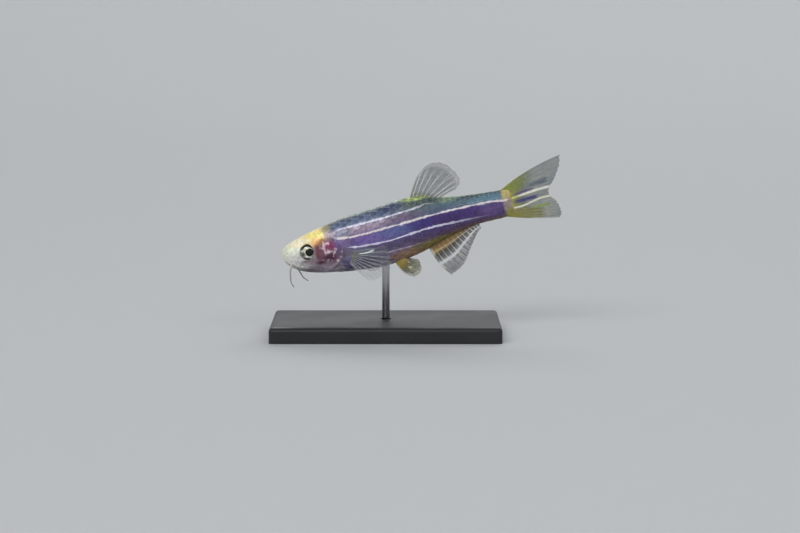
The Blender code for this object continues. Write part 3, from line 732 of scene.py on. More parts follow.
# %% Fold the skin of the head
EYE_PLACE = (4.40, 1.80, -0.22)
EYE_RADII = (1.22, 0.60, 1.22)
MOUTH_LINE = ((-0.1, 0.35), (1.2, -1.57))
JAW_CREASE = ((1.2, -1.57), (2.6, -2.3), (4.1, -2.95))
CHEEK_CREASE = ((6.0, 0.6), (5.72, -0.9), (5.6, -2.2), (6.15, -3.15))
GILL_COVER_OUTLINE = (
    (6.15, 0.95), (7.6, 1.40), (9.05, 0.70), (9.75, -0.90), (9.2, -2.25),
    (8.0, -3.15), (6.5, -3.55), (5.75, -2.60), (5.85, -0.90),
)
HEAD_FOLDS = (  # line, rise or depth, how far beside the line it lies, width
    (MOUTH_LINE, -0.06, 0.0, 0.05),
    (MOUTH_LINE, 0.03, 0.20, 0.16),
    (JAW_CREASE, -0.06, 0.0, 0.09),
    (CHEEK_CREASE, -0.05, 0.0, 0.10),
    (((5.0, -3.35), (8.6, -3.45)), -0.04, 0.0, 0.08),
    (((4.6, -3.6), (8.9, -3.85)), -0.04, 0.0, 0.08),
)
NOSTRILS = ((2.15, 1.12), (2.62, 1.26))
HEAD_FOLDS_END = 11.0
FREE_EDGE_START, FREE_EDGE_RUN = 6.2, 1.2  # where the rear of the gill cover lifts off
GILL_COVER_RISE = 0.12


def smooth_curve(points, share):
    """Points of the smooth curve through the given points, at an array of shares 0 to 1."""
    points = np.asarray(points, float)
    spans = len(points) - 1
    place = np.clip(np.asarray(share, float), 0.0, 1.0) * spans
    span = np.minimum(place.astype(int), spans - 1)
    f = (place - span)[..., None]
    padded = np.concatenate([[2 * points[0] - points[1]], points, [2 * points[-1] - points[-2]]])
    before, here, following, after = (padded[span + n] for n in range(4))
    return 0.5 * (2 * here + (following - before) * f
                  + (2 * before - 5 * here + 4 * following - after) * f**2
                  + (3 * here - before - 3 * following + after) * f**3)


def distance_to(line, along, up):
    """Distance in millimetres from each place to a line of points on the side of the fish."""
    nearest = np.full(along.shape, 1e9)
    for (x1, y1), (x2, y2) in zip(line, line[1:]):
        dx, dy = x2 - x1, y2 - y1
        share = np.clip(((along - x1) * dx + (up - y1) * dy) / (dx * dx + dy * dy), 0.0, 1.0)
        nearest = np.minimum(nearest, np.hypot(along - x1 - share * dx, up - y1 - share * dy))
    return nearest


def inside(outline, along, up):
    hit = np.zeros(along.shape, bool)
    for (x1, y1), (x2, y2) in zip(outline, np.roll(outline, -1, axis=0)):
        crosses = (y1 > up) != (y2 > up)
        hit ^= crosses & (along < (x2 - x1) * (up - y1) / (y2 - y1 + 1e-12) + x1)
    return hit


def bump(distance, centre, width):
    return np.exp(-(((distance - centre) / width) ** 2))


def gill_cover_depth(along, up):
    """How far each place lies inside the smoothed outline of the gill cover."""
    corners = np.array(GILL_COVER_OUTLINE)
    closed = np.concatenate([corners[-1:], corners, corners[:2]])
    shares = (1 + np.arange(len(corners) * 4) / 4) / (len(closed) - 1)
    ring = smooth_curve(closed, shares)
    edge = distance_to(np.concatenate([ring, ring[:1]]), along, up)
    return np.where(inside(ring, along, up), edge, -edge)


def head_relief(along, up):
    """How far each place stands out of the plain body, in millimetres."""
    eye = np.hypot(along - EYE_PLACE[0], up - EYE_PLACE[2])
    relief = 0.07 * bump(eye, EYE_RADII[0] + 0.12, 0.10)
    for line, height, beside, width in HEAD_FOLDS:
        relief += height * bump(distance_to(line, along, up), beside, width)
    for nostril in NOSTRILS:
        hole = np.hypot(along - nostril[0], up - nostril[1])
        relief += -0.13 * bump(hole, 0.0, 0.12) + 0.05 * bump(hole, 0.2, 0.06)
    depth = gill_cover_depth(along, up)
    free_edge = np.clip((along - FREE_EDGE_START) / FREE_EDGE_RUN, 0.0, 1.0)
    relief += GILL_COVER_RISE * soft_step(depth / (0.9 - 0.72 * free_edge), 0.0, 1.0)
    relief -= 0.10 * free_edge * bump(depth, -0.14, 0.12)
    return relief


def fold_head(mesh):
    places = vertex_places(mesh)
    normals = np.empty(len(mesh.vertices) * 3, np.float32)
    mesh.vertices.foreach_get("normal", normals)
    along, _, up = places.T / MM
    relief = np.where(along < HEAD_FOLDS_END, head_relief(along, up), 0.0) * MM
    set_vertex_places(mesh, places + normals.reshape(-1, 3) * relief[:, None])


fold_head(skin_mesh)
skin = new_object("skin", skin_mesh)
print("head folded")

# %% [markdown]
# A real eye sits in a hollow and can turn there. An ellipsoid a little larger than the eye is
# cut out of the skin on each side, with an exact Boolean, so that the rim is crisp.

# %% Open the eye sockets
SOCKET_ROOM = 0.05


def ball(name, centre, radii, segments, rings):
    """A closed ellipsoid with its poles out to the sides."""
    around = np.linspace(0.0, 2 * math.pi, segments, endpoint=False)
    down = np.linspace(0.0, math.pi, rings + 1)[1:-1]
    grid_down, grid_around = np.meshgrid(down, around, indexing="ij")
    points = np.stack([np.sin(grid_down) * np.cos(grid_around), np.cos(grid_down),
                       np.sin(grid_down) * np.sin(grid_around)], axis=-1).reshape(-1, 3)
    points = np.concatenate([[[0.0, 1.0, 0.0]], points, [[0.0, -1.0, 0.0]]])
    faces = ring_faces(rings - 1, segments, flipped=True)
    return mesh_from(name, (points * radii + centre) * MM, faces)


def open_socket(side):
    centre = np.array(EYE_PLACE) * (1, side, 1)
    radii = np.array(EYE_RADII) + SOCKET_ROOM
    cutter = new_object("socket", ball("socket", centre, radii, 64, 32))
    cut = skin.modifiers.new("socket", "BOOLEAN")
    cut.operation = "DIFFERENCE"
    cut.object = cutter
    plain_mesh(skin)
    bpy.data.objects.remove(cutter)


for side in (-1, 1):
    open_socket(side)
print("sockets open, skin has", len(skin.data.polygons), "faces")

# %% [markdown]
# The skin is wet and slightly pearly. Colour comes from the group above, a clear coat gives the
# wet look, and fine noise in the bump breaks up the highlights as real skin does.

# %% Dress the skin
BACK_LIES = (3.95, 4.35)  # the lies over which the scales of the back begin to show their edges


def body_material(name, is_scale):
    """Danio skin or scale: a scale has a pale free edge and a darker middle on the back."""
    material, tree, surface = new_material(
        name, Coat_Weight=0.16, Coat_Roughness=0.16, IOR=1.38, Subsurface_Weight=0.12,
        Subsurface_Scale=0.4 * MM,
    )
    along, lie, up = mark(tree, "body_mark")
    offset, strength, cream = mark(tree, "stripe_mark")
    # the gill cover, where the colour group paints its glints
    gill = spot(tree, along, up, (8.0, -0.9), (1.8, 1.9), 0.5)
    place = object_place(tree)
    group = place_group(tree, body_colours, Tint=stored(tree, "body_tint"), Offset=offset,
                        Strength=strength, Cream=cream, Gill=gill, Place=place)
    colour, pearl = group.outputs["Colour"], group.outputs["Pearl"]
    if is_scale:
        behind, across, _ = mark(tree, "scale_mark")
        rim = times(tree, fade(tree, length_of(tree, behind, across), 0.70, 0.95),
                    fade(tree, behind, -0.2, 0.4), fade(tree, lie, *BACK_LIES, 0.08, 0.55))
        colour = blend(tree, rim, colour, tint("b4beb8"))
        core = times(tree, spot(tree, behind, across, (0.35, 0.0), (0.45, 0.7), 0.9),
                     fade(tree, lie, *BACK_LIES, 0.08, 0.45))
        colour = blend(tree, core, colour, tint("38435c"))
        own_shade = mark(tree, "scale_shade")[0]
        colour = add(tree, "ShaderNodeHueSaturation", Value=own_shade, Color=colour).outputs[0]
    grain = noise(tree, place, 2600.0, 3.0)
    silver = maths(tree, "ADD", fade(tree, along, 7.5, 10.0, 0.0, 0.18), times(tree, pearl, 0.05))
    wire(tree, surface, Base_Color=colour, Metallic=silver,
         Roughness=fade(tree, grain, 0.3, 0.7, 0.34, 0.52))
    give_relief(tree, surface, grain, 0.35, 0.03 * MM)
    return material


mark_body(skin.data)
pose_mesh(skin.data)
finish_piece(
    skin, body_material("danio skin", False), "flank", "head", "lower_jaw", "gill_cover_left",
    "gill_cover_right", "trunk", "hind_body", "tail_stalk",
)

# %% [markdown]
# ## The scales
#
# Danio scales are thin round plates that overlap like tiles, each with its front edge in the
# skin and its rear edge free. They could be painted, but real plates catch the light along
# their edges from every side. Here each scale's root is a point with a heading, a size and its
# own small patch of the texture map. Geometry Nodes shape one plate from a flattened sphere and
# put a copy on every point.

# %% Lay out the roots of the scales
SCALES_START = 8.7 * MM
SCALES_END = 35.4 * MM
SCALE_STEP = 1.02 * MM  # between columns at the deepest place
DEEPEST = 9.2 * MM
LEAST_STEP = 0.45  # the share of the step that stays however shallow the body is
SCALE_ROWS = 12  # from the back to the belly on each side
SIZE_SPREAD = 0.05
SHADE_SPREAD = 0.10
SCALE_LENGTH, SCALE_WIDTH = 1.62, 1.22  # as shares of the spacing, so that they overlap
SCALE_THICKNESS, SCALE_LIFT = 0.030 * MM, 0.018 * MM
PATCH_MARGIN, PATCH_SIZE = 0.03, 0.0015  # of each scale's place on the texture map
GILL_COVER_CLEAR = 0.35


def half_girth(along):
    """Angles from the back to the belly at even distances over one side, and the girth."""
    angles = np.linspace(math.pi / 2, 3 * math.pi / 2, 181)
    ring = body_surface(np.full(angles.shape, along), angles)
    steps = np.linalg.norm(np.diff(ring, axis=0), axis=1)
    run = np.concatenate([[0.0], np.cumsum(steps)])
    return angles, run


def scale_columns():
    places = [SCALES_START]
    while places[-1] < SCALES_END:
        depth = sum(float(v) for v in body_at(places[-1])[:2]) / DEEPEST
        places.append(places[-1] + SCALE_STEP * (LEAST_STEP + (1 - LEAST_STEP) * depth))
    return places


def scale_roots():
    """Root, turn, size and texture patch of every scale of the left side."""
    roots, turns, sizes, patches = [], [], [], []
    columns = scale_columns()
    for n, along in enumerate(columns):
        angles, run = half_girth(along)
        low, high = max(n - 1, 0), min(n + 1, len(columns) - 1)
        step = (columns[high] - columns[low]) / (high - low)
        pitch = run[-1] / SCALE_ROWS
        for row in range(SCALE_ROWS):
            share = (row + 0.25 + 0.5 * (n % 2)) / SCALE_ROWS
            angle = float(np.interp(share * run[-1], run, angles))
            point, ahead, aside = body_surface(
                np.array([along, along + 0.05 * MM, along]),
                np.array([angle, angle, angle + 0.01]), COAT_DEPTH,
            )
            if gill_cover_depth(*(point[[0, 2], None] / MM))[0] > -GILL_COVER_CLEAR:
                continue
            heading = Vector(ahead - point).normalized()
            down = Vector(aside - point).normalized()
            out = down.cross(heading).normalized()
            turn = Matrix((heading, out.cross(heading), out)).transposed()
            roots.append(point)
            turns.append(turn.to_euler())
            sizes.append((step * SCALE_LENGTH, pitch * SCALE_WIDTH, 1.0))
            patches.append((along / BODY_LENGTH, share, 0.0))
    return roots, turns, sizes, patches


roots, turns, sizes, patches = scale_roots()
chance = np.random.default_rng(7)
sizes = np.array(sizes) * chance.uniform(1 - SIZE_SPREAD, 1 + SIZE_SPREAD, (len(sizes), 1))
shades = chance.uniform(1 - SHADE_SPREAD, 1 + SHADE_SPREAD, (len(sizes), 1)) * np.ones(3)
print("scales on each side:", len(roots))

# %% [markdown]
# One Geometry Nodes tree makes every scale: it reads the roots' attributes, places a small
# domed plate at each and keeps the marks of its root for the material. Its inputs have names,
# and it ends by realizing the instances and setting the material.

# %% Build the tree that makes the scales
UNDERSIDE_SHIFT = 0.008  # the underside of a scale lies beside its top on the texture map


def geometry_tree(name, inputs):
    geometry = {"Geometry": "Geometry"}
    return new_group(name, "Geometry", geometry | inputs, geometry)


def named(tree, name, kind="FLOAT_VECTOR"):
    node = tree.nodes.new("GeometryNodeInputNamedAttribute")
    node.data_type = kind
    node.inputs["Name"].default_value = name
    return node.outputs["Attribute"]


def keep(tree, geometry, name, value, kind="FLOAT_VECTOR", domain="POINT"):
    """Stores a value on the geometry under a name."""
    node = tree.nodes.new("GeometryNodeStoreNamedAttribute")
    node.data_type = kind
    node.domain = domain
    return wire(tree, node, Name=name, Geometry=geometry, Value=value).outputs["Geometry"]


def vector(tree, x, y, z):
    return add(tree, "ShaderNodeCombineXYZ", X=x, Y=y, Z=z).outputs[0]


def realized(tree, geometry):
    return add(tree, "GeometryNodeRealizeInstances", Geometry=geometry).outputs[0]


def end_tree(tree, geometry, material, sink):
    dressed = add(tree, "GeometryNodeSetMaterial", Geometry=realized(tree, geometry),
                  Material=material)
    wire(tree, sink, Geometry=dressed.outputs[0])


def scale_plate(tree, thickness, lift):
    """One round plate as wide as its size, tipped up toward its free edge."""
    plate = add(tree, "GeometryNodeMeshUVSphere", Segments=14, Rings=6, Radius=1.0)
    position = tree.nodes.new("GeometryNodeInputPosition").outputs[0]
    marked = keep(tree, plate.outputs["Mesh"], "scale_mark", position)
    x, y, z = parts_of(tree, position)
    rise = maths(tree, "ADD", times(tree, z, times(tree, thickness, 0.5)), times(tree, x, lift))
    flat = vector(tree, times(tree, x, 0.5), times(tree, y, 0.5), rise)
    return add(tree, "GeometryNodeSetPosition", Geometry=marked, Position=flat).outputs[0]


def build_scale_tree():
    tree, source, sink = geometry_tree("scale coat", {
        "Thickness": "Float", "Lift": "Float", "Patch Size": "Float", "Material": "Material",
    })
    points, thickness, lift, patch_size, material = source.outputs[:5]
    copies = add(tree, "GeometryNodeInstanceOnPoints", Points=points,
                 Instance=scale_plate(tree, thickness, lift), Rotation=named(tree, "turn"),
                 Scale=named(tree, "size"))
    under = maths(tree, "LESS_THAN", parts_of(tree, named(tree, "scale_mark"))[2], -0.01)
    shift = vector(tree, 0.0, times(tree, under, UNDERSIDE_SHIFT), 0.0)
    around = maths(tree, "MULTIPLY", named(tree, "scale_mark"),
                   vector(tree, patch_size, patch_size, 0.0), kind="VectorMath")
    middle = maths(tree, "ADD", named(tree, "patch"), shift, kind="VectorMath")
    spread_out = maths(tree, "ADD", middle, around, kind="VectorMath")
    mapped = keep(tree, realized(tree, copies.outputs[0]), "OFBake", spread_out, "FLOAT2",
                  "CORNER")
    end_tree(tree, mapped, material, sink)
    return tree


def use_tree(obj, tree, **values):
    """Gives an object the tree, with each input set by its socket's identifier."""
    modifier = obj.modifiers.new(tree.name, "NODES")
    modifier.node_group = tree
    for item in tree.interface.items_tree:
        label = item.name.replace(" ", "_").lower()
        if item.in_out == "INPUT" and label in values:
            modifier[item.identifier] = values[label]
    return plain_mesh(obj)


scale_tree = build_scale_tree()
scale_material = body_material("danio scales", True)
print("scale tree:", len(scale_tree.nodes), "nodes")

# %% [markdown]
# The two sides get a coat each, which keeps the meshes light enough to reuse. The tree's result
# becomes a plain mesh, and then bends with the body like every other piece.

# %% Grow the scales on both sides
def grow_scales(name, side):
    flip = np.array([1.0, -side, 1.0])  # the roots are those of the left side, at -Y
    points = mesh_from(name, np.array(roots) * flip, [])
    mirror = Matrix.Diagonal(flip)
    store(points, "turn", [(mirror @ turn.to_matrix() @ mirror).to_euler() for turn in turns])
    store(points, "size", sizes)
    store(points, "scale_shade", shades)
    share = np.array(patches)
    run = PATCH_MARGIN + (1 - 2 * PATCH_MARGIN) * share[:, 0]
    half = 0.5 * (share[:, 1] * 0.94 + 0.02) + (0.5 if side > 0 else 0.0)  # half a map a side
    store(points, "patch", np.stack([run, half, 0 * half], axis=-1))
    coat = new_object(name, points)
    use_tree(coat, scale_tree, thickness=SCALE_THICKNESS, lift=SCALE_LIFT,
             patch_size=PATCH_SIZE, material=scale_material)
    mark_body(coat.data)
    pose_mesh(coat.data)
    finish_piece(coat, scale_material, "flank")


grow_scales("scales_left", -1)
grow_scales("scales_right", 1)

# %% [markdown]
# ## The eyes
#
# A fish's eye is a round lens that bulges through a flat silver iris. One ellipsoid with a
# raised middle gives that shape. The iris is pale silver with a thin gold ring at the pupil, a
# dark arc above and two painted highlights below, and the coat of the material is the wet cornea.

# %% Make the eyes
PUPIL_RADIUS = 0.62
PUPIL_SHIFT = (0.29, -0.03)  # the pupil sits behind the middle of the eye
IRIS_SHRINK = 0.97
DOME_HEIGHT, RIM_DIP = 0.10, 0.05
IRIS_PATCHES = (  # centre, radii, tint, strength
    ((-0.72, -0.16), (0.26, 0.34), "3d4038", 0.85),
    ((-0.50, -0.86), (0.34, 0.16), "4c4a48", 0.70),
    ((-0.98, 0.30), (0.20, 0.34), "7c8478", 0.70),
    # the next two white spots are painted highlights on the lower iris
    ((-0.22, -0.66), (0.22, 0.17), "ffffff", 0.95),
    ((0.34, -0.93), (0.24, 0.14), "fbfbfb", 0.90),
    ((-0.86, 0.48), (0.26, 0.20), "eef2e4", 0.85),
    ((0.95, 0.1), (0.14, 0.50), "4c3834", 0.60),
)


def eye_material():
    material, tree, surface = new_material(
        "danio eye", Coat_Weight=0.5, Coat_Roughness=0.02, IOR=1.30,
    )
    ahead, rise, _ = mark(tree, "eye_mark")
    radius = length_of(tree, ahead, rise)
    ring = length_of(tree, maths(tree, "SUBTRACT", ahead, PUPIL_SHIFT[0]),
                     maths(tree, "SUBTRACT", rise, PUPIL_SHIFT[1]))
    grain = noise(tree, object_place(tree), 3200.0, 3.0)
    iris = bands(tree, maths(tree, "DIVIDE", radius, EYE_RADII[0]), (
        (0.0, "e4e4cc"), (0.62, "cfd0bc"), (0.80, "b0b0a0"), (0.92, "8a867c"), (1.0, "6c6460"),
    ))
    iris = blend(tree, fade(tree, grain, 0.42, 0.62, 0.0, 0.55), iris, tint("6d7468"))
    inner = fade(tree, ring, PUPIL_RADIUS + 0.13, PUPIL_RADIUS + 0.05, 0.0, 0.9)
    iris = blend(tree, inner, iris, tint("efefcc"))
    for centre, radii, code, strength in IRIS_PATCHES:
        patch = spot(tree, ahead, rise, centre, radii, 0.7)
        iris = blend(tree, times(tree, patch, strength), iris, tint(code))
    arc = times(tree, fade(tree, radius, 0.82, 0.90), fade(tree, rise, 0.34, 0.60), 0.95)
    iris = blend(tree, arc, iris, tint("11120d"))
    pupil = fade(tree, ring, PUPIL_RADIUS + 0.02, PUPIL_RADIUS - 0.02)
    wire(tree, surface, Base_Color=blend(tree, pupil, iris, tint("050506")),
         Roughness=fade(tree, pupil, 0.0, 1.0, 0.32, 0.06),
         Metallic=fade(tree, pupil, 0.0, 1.0, 0.45, 0.0))
    return material


def make_eye(name, side, node):
    centre = np.array(EYE_PLACE) * (1, side, 1)
    mesh = ball(name, centre, np.array(EYE_RADII) * IRIS_SHRINK, 72, 48)
    places = vertex_places(mesh)
    ahead, out, rise = (places / MM - centre).T
    radius = np.hypot(ahead - PUPIL_SHIFT[0], rise - PUPIL_SHIFT[1])
    outside = out * side > 0
    dome = DOME_HEIGHT * np.sqrt(np.clip(1 - (radius / (PUPIL_RADIUS * 1.02)) ** 2, 0.0, 1.0))
    dip = RIM_DIP * bump(radius, PUPIL_RADIUS * 1.12, 0.12)
    places[:, 1] += np.where(outside, (dome - dip) * side, 0.0) * MM
    set_vertex_places(mesh, places)
    store(mesh, "eye_mark", np.stack([ahead, rise, out], axis=-1))
    pose_mesh(mesh)
    eye = new_object(name, mesh)
    finish_piece(eye, danio_eye, "eye", node)


danio_eye = eye_material()
make_eye("eyeball_left", -1, "eye_left")
make_eye("eyeball_right", 1, "eye_right")

# %% [markdown]
# ## The fins
#
# A fin is a clear film held open by fine rays that fork toward the margin. Film and rays both
# follow one rule: a fan between a row of roots and an outer margin. The film is a thin closed
# sheet whose margin draws in slightly between the rays. The rays are lines on the same fan,
# which Geometry Nodes sweep into tapering tubes.

# %% Describe the fans
ROOT_DEPTH = 0.8


class Fan:
    """The surface of a fin: share runs from the first ray to the last, reach from root to tip.

    Bows bend the first and the last ray, as shares of their length.
    """

    def __init__(self, roots, margin, count, bows=(0.0, 0.0)):
        self.roots = np.asarray(roots, float)
        self.margin = np.asarray(margin, float)
        self.count = count
        self.bows = bows

    def place(self, share, reach):
        root, tip = smooth_curve(self.roots, share), smooth_curve(self.margin, share)
        across = self.margin[-1] - self.margin[0]
        ray = tip - root
        length = np.linalg.norm(ray, axis=-1, keepdims=True)
        across = across - ray * (ray @ across)[..., None] / length**2
        across /= np.linalg.norm(across, axis=-1, keepdims=True)
        bow = self.bows[0] + (self.bows[1] - self.bows[0]) * np.asarray(share)[..., None]
        middle = (root + tip) / 2 + across * bow * length
        reach = np.asarray(reach, float)[..., None]
        return root * (1 - reach) ** 2 + middle * 2 * reach * (1 - reach) + tip * reach**2

    def normal(self, share, reach):
        small = 0.004
        across = self.place(share + small, reach) - self.place(share - small, reach)
        along = self.place(share, reach + small) - self.place(share, reach - small)
        normal = np.cross(across, along)
        return normal / np.maximum(np.linalg.norm(normal, axis=-1, keepdims=True), 1e-9)


def upright(pairs):
    return [(along, 0.0, up) for along, up in pairs]


def back_at(along):
    return float(body_at(along * MM)[0]) / MM


def belly_at(along):
    return float(body_at(along * MM)[1]) / MM


def flank_at(along, up):
    back, belly, half_width, widest = (float(v) / MM for v in body_at(along * MM))
    above = up >= widest
    power = BACK_SQUARENESS if above else BELLY_SQUARENESS
    share = abs(up - widest) / (back - widest if above else belly + widest)
    return half_width * max(1.0 - share**power, 0.0) ** (1 / power)


DORSAL_MARGIN = (
    (23.6, 7.4), (25.3, 8.7), (27.2, 8.85), (28.7, 8.0), (29.8, 6.3), (30.0, 5.0), (29.1, 4.0),
)
ANAL_MARGIN = ((25.5, -9.0), (27.7, -7.8), (29.3, -5.6), (30.8, -3.6), (31.7, -2.85))
TAIL_MARGIN = (
    (46.3, 5.5), (45.9, 4.0), (45.1, 2.7), (44.4, 1.75), (43.6, 0.95), (43.3, 0.15),
    (43.5, -0.6), (44.1, -1.3), (44.5, -2.35), (44.6, -3.5), (44.2, -4.15),
)
PECTORAL_MARGIN = ((16.6, -1.6), (16.8, -3.9), (15.6, -5.6), (13.2, -6.3), (11.3, -4.6))
PECTORAL_STANDS_OUT = (3.1, 3.5, 3.5, 2.9, 1.3)
PELVIC_MARGIN = ((19.7, -7.7), (20.7, -7.2), (21.1, -6.4), (20.9, -5.6))
PELVIC_STANDS_OUT = (1.1, 1.5, 1.6, 1.3)

dorsal_roots = [(a, 0.0, back_at(a) - ROOT_DEPTH) for a in (21.35, 23.3, 25.3)]
anal_roots = [(a, 0.0, ROOT_DEPTH - belly_at(a)) for a in (22.9, 25.7, 28.5, 31.3)]
tail_roots = [(35.4, 0.0, 1.95), (35.4, 0.0, -1.80)]


def paired_fan(side, base, depth, margin, stands_out, count, bows):
    sides = [flank_at(*place) if depth is None else depth for place in base]
    inner = [(a, side * (s - ROOT_DEPTH / 2), u) for (a, u), s in zip(base, sides)]
    outer = [(a, side * (sides[0] + o), u) for (a, u), o in zip(margin, stands_out)]
    return Fan(inner, outer, count, bows)


PECTORAL_BASE = ((11.0, -1.75), (10.25, -3.05))
PELVIC_BASE = ((17.3, -4.45), (18.2, -4.3))
PELVIC_SIDE = 0.65 + ROOT_DEPTH / 2
FANS = {
    "dorsal": (Fan(dorsal_roots, upright(DORSAL_MARGIN), 9, (-0.05, -0.05)), ("dorsal_fin",)),
    "anal": (Fan(anal_roots, upright(ANAL_MARGIN), 13, (-0.15, 0.0)), ("anal_fin",)),
    "tail": (Fan(tail_roots, upright(TAIL_MARGIN), 19, (-0.09, 0.05)),
             ("tail_fin_upper", "tail_fin_lower")),
}
for label, side in (("left", -1), ("right", 1)):
    FANS[f"pectoral_{label}"] = (
        paired_fan(side, PECTORAL_BASE, None, PECTORAL_MARGIN, PECTORAL_STANDS_OUT, 11,
                   (0.0, 0.0)),
        (f"pectoral_fin_{label}",),
    )
    FANS[f"pelvic_{label}"] = (
        paired_fan(side, PELVIC_BASE, PELVIC_SIDE, PELVIC_MARGIN, PELVIC_STANDS_OUT, 8,
                   (-0.30, -0.05)),
        (f"pelvic_fin_{label}",),
    )
print("fins:", ", ".join(FANS))

# %% [markdown]
# The film is thicker at the root, as on the real fin, and ends in a thin edge. Its two faces are
# joined round the whole rim, so it is a closed sheet.

# %% Stretch the film
FILM_AT_ROOT = 0.16
FILM_AT_TIP = 0.035
FILM_ROWS = 34
FILM_COLUMNS_PER_RAY = 6
SCALLOP_DEPTH = 0.014  # how far the margin draws in between two rays, as a share of the reach
RIPPLE = 0.035


def film_mesh(name, fan):
    """A thin closed sheet over the fan, scalloped between the rays, with a slight ripple."""
    columns = FILM_COLUMNS_PER_RAY * (fan.count - 1) + 1
    share, reach = np.meshgrid(np.linspace(0, 1, columns), np.linspace(0, 1, FILM_ROWS))
    between = 0.5 - 0.5 * np.cos(2 * math.pi * share * (fan.count - 1))
    drawn = reach * (1.0 - SCALLOP_DEPTH * between * reach**6)
    middle = fan.place(share, drawn)
    normal = fan.normal(share, drawn)
    ripple = RIPPLE * between * np.sin(reach * 5.0 + share * 9.0) * reach
    half = (FILM_AT_ROOT + (FILM_AT_TIP - FILM_AT_ROOT) * reach**0.6) / 2
    sheets = [middle + normal * (ripple + sign * half)[..., None] for sign in (1, -1)]
    vertices = np.concatenate([sheet.reshape(-1, 3) for sheet in sheets]) * MM
    offset = columns * FILM_ROWS
    faces = []
    for row in range(FILM_ROWS - 1):
        for column in range(columns - 1):
            a = row * columns + column
            b, c, d = a + 1, a + columns + 1, a + columns
            faces.append((a, b, c, d))
            faces.append((offset + a, offset + d, offset + c, offset + b))
    rim = list(range(columns))
    rim += [(r + 1) * columns - 1 for r in range(1, FILM_ROWS)]
    rim += [FILM_ROWS * columns - 2 - c for c in range(columns - 1)]
    rim += [r * columns for r in range(FILM_ROWS - 2, 0, -1)]
    for a, b in zip(rim, rim[1:] + rim[:1]):
        faces.append((b, a, offset + a, offset + b))
    mesh = mesh_from(name, vertices, faces)
    flat = np.stack([share, reach, between], axis=-1).reshape(-1, 3)
    store(mesh, "fin_mark", np.concatenate([flat, flat]))
    return mesh


print("film", FILM_AT_ROOT, "mm thick at the root and", FILM_AT_TIP, "mm at the margin")

# %% [markdown]
# Real rays are stiff rods that split in two toward the margin, and often once more. They are
# drawn as lines of share and reach first, because forks are easy to place in those terms.

# %% Draw the rays as lines
RAY_RADIUS = {"dorsal": 0.080, "anal": 0.080, "tail": 0.062, "pectoral": 0.045, "pelvic": 0.060}
FIRST_FORK, FIRST_OPENING = 0.42, 0.21  # reach of a fork, and its opening in ray spacings
SECOND_FORK, SECOND_OPENING = 0.72, 0.09
EDGE_STEPS, STEM_STEPS, BRANCH_STEPS = 30, 14, 10


def ray_lines(fan):
    """Lines of share and reach for each ray and its forks, each with its radius."""
    spacing = 1.0 / (fan.count - 1)
    edge = np.linspace(0.0, 1.0, EDGE_STEPS)
    stem = np.linspace(0.0, FIRST_FORK, STEM_STEPS)
    branch = np.linspace(FIRST_FORK, SECOND_FORK, BRANCH_STEPS)
    twig = np.linspace(SECOND_FORK, 1.0, BRANCH_STEPS)

    def opened(reach, fork, opening):
        return opening * spacing * (reach - fork) / (1 - fork)

    lines = [(0 * edge, edge, 1.0 - 0.6 * edge)]
    for ray in range(1, fan.count):
        share = ray * spacing
        lines.append((np.full(STEM_STEPS, share), stem, 1.0 - 0.5 * stem))
        for first in (-1,) if ray == fan.count - 1 else (-1, 1):
            place = share + first * opened(branch, FIRST_FORK, FIRST_OPENING)
            lines.append((place, branch, 0.72 - 0.45 * (branch - FIRST_FORK)))
            for second in (-1, 1):
                place = share + first * opened(twig, FIRST_FORK, FIRST_OPENING)
                place = place + second * opened(twig, SECOND_FORK, SECOND_OPENING)
                lines.append((np.clip(place, 0, 1), twig, 0.5 - 0.8 * (twig - SECOND_FORK)))
    return lines


def ray_mesh(name, fan, thickness):
    vertices, radii, marks, edges = [], [], [], []
    for share, reach, radius in ray_lines(fan):
        start = sum(len(part) for part in vertices)
        vertices.append(fan.place(share, reach))
        radii.append(radius * thickness * MM)
        marks.append(np.stack([share, reach, 0 * share], axis=-1))
        edges += [(start + n, start + n + 1) for n in range(len(share) - 1)]
    mesh = mesh_from(name, np.concatenate(vertices) * MM, [], edges)
    store(mesh, "ray_radius", np.concatenate(radii), "FLOAT")
    store(mesh, "fin_mark", np.concatenate(marks))
    return mesh


def build_ray_tree():
    tree, source, sink = geometry_tree("swept rays", {"Sides": "Int", "Material": "Material"})
    lines, sides, material = source.outputs[:3]
    radius = named(tree, "ray_radius", "FLOAT")
    curve = add(tree, "GeometryNodeMeshToCurve", Mesh=lines).outputs[0]
    profile = add(tree, "GeometryNodeCurvePrimitiveCircle", Resolution=sides, Radius=1.0)
    width = add(tree, "GeometryNodeSetCurveRadius", Curve=curve, Radius=radius)
    sweep = add(tree, "GeometryNodeCurveToMesh", Curve=width.outputs[0],
                Profile_Curve=profile.outputs["Curve"], Fill_Caps=True)
    if "Scale" in sweep.inputs:
        wire(tree, sweep, Scale=radius)
    end_tree(tree, sweep.outputs[0], material, sink)
    return tree


ray_tree = build_ray_tree()
print("ray tree:", len(ray_tree.nodes), "nodes")
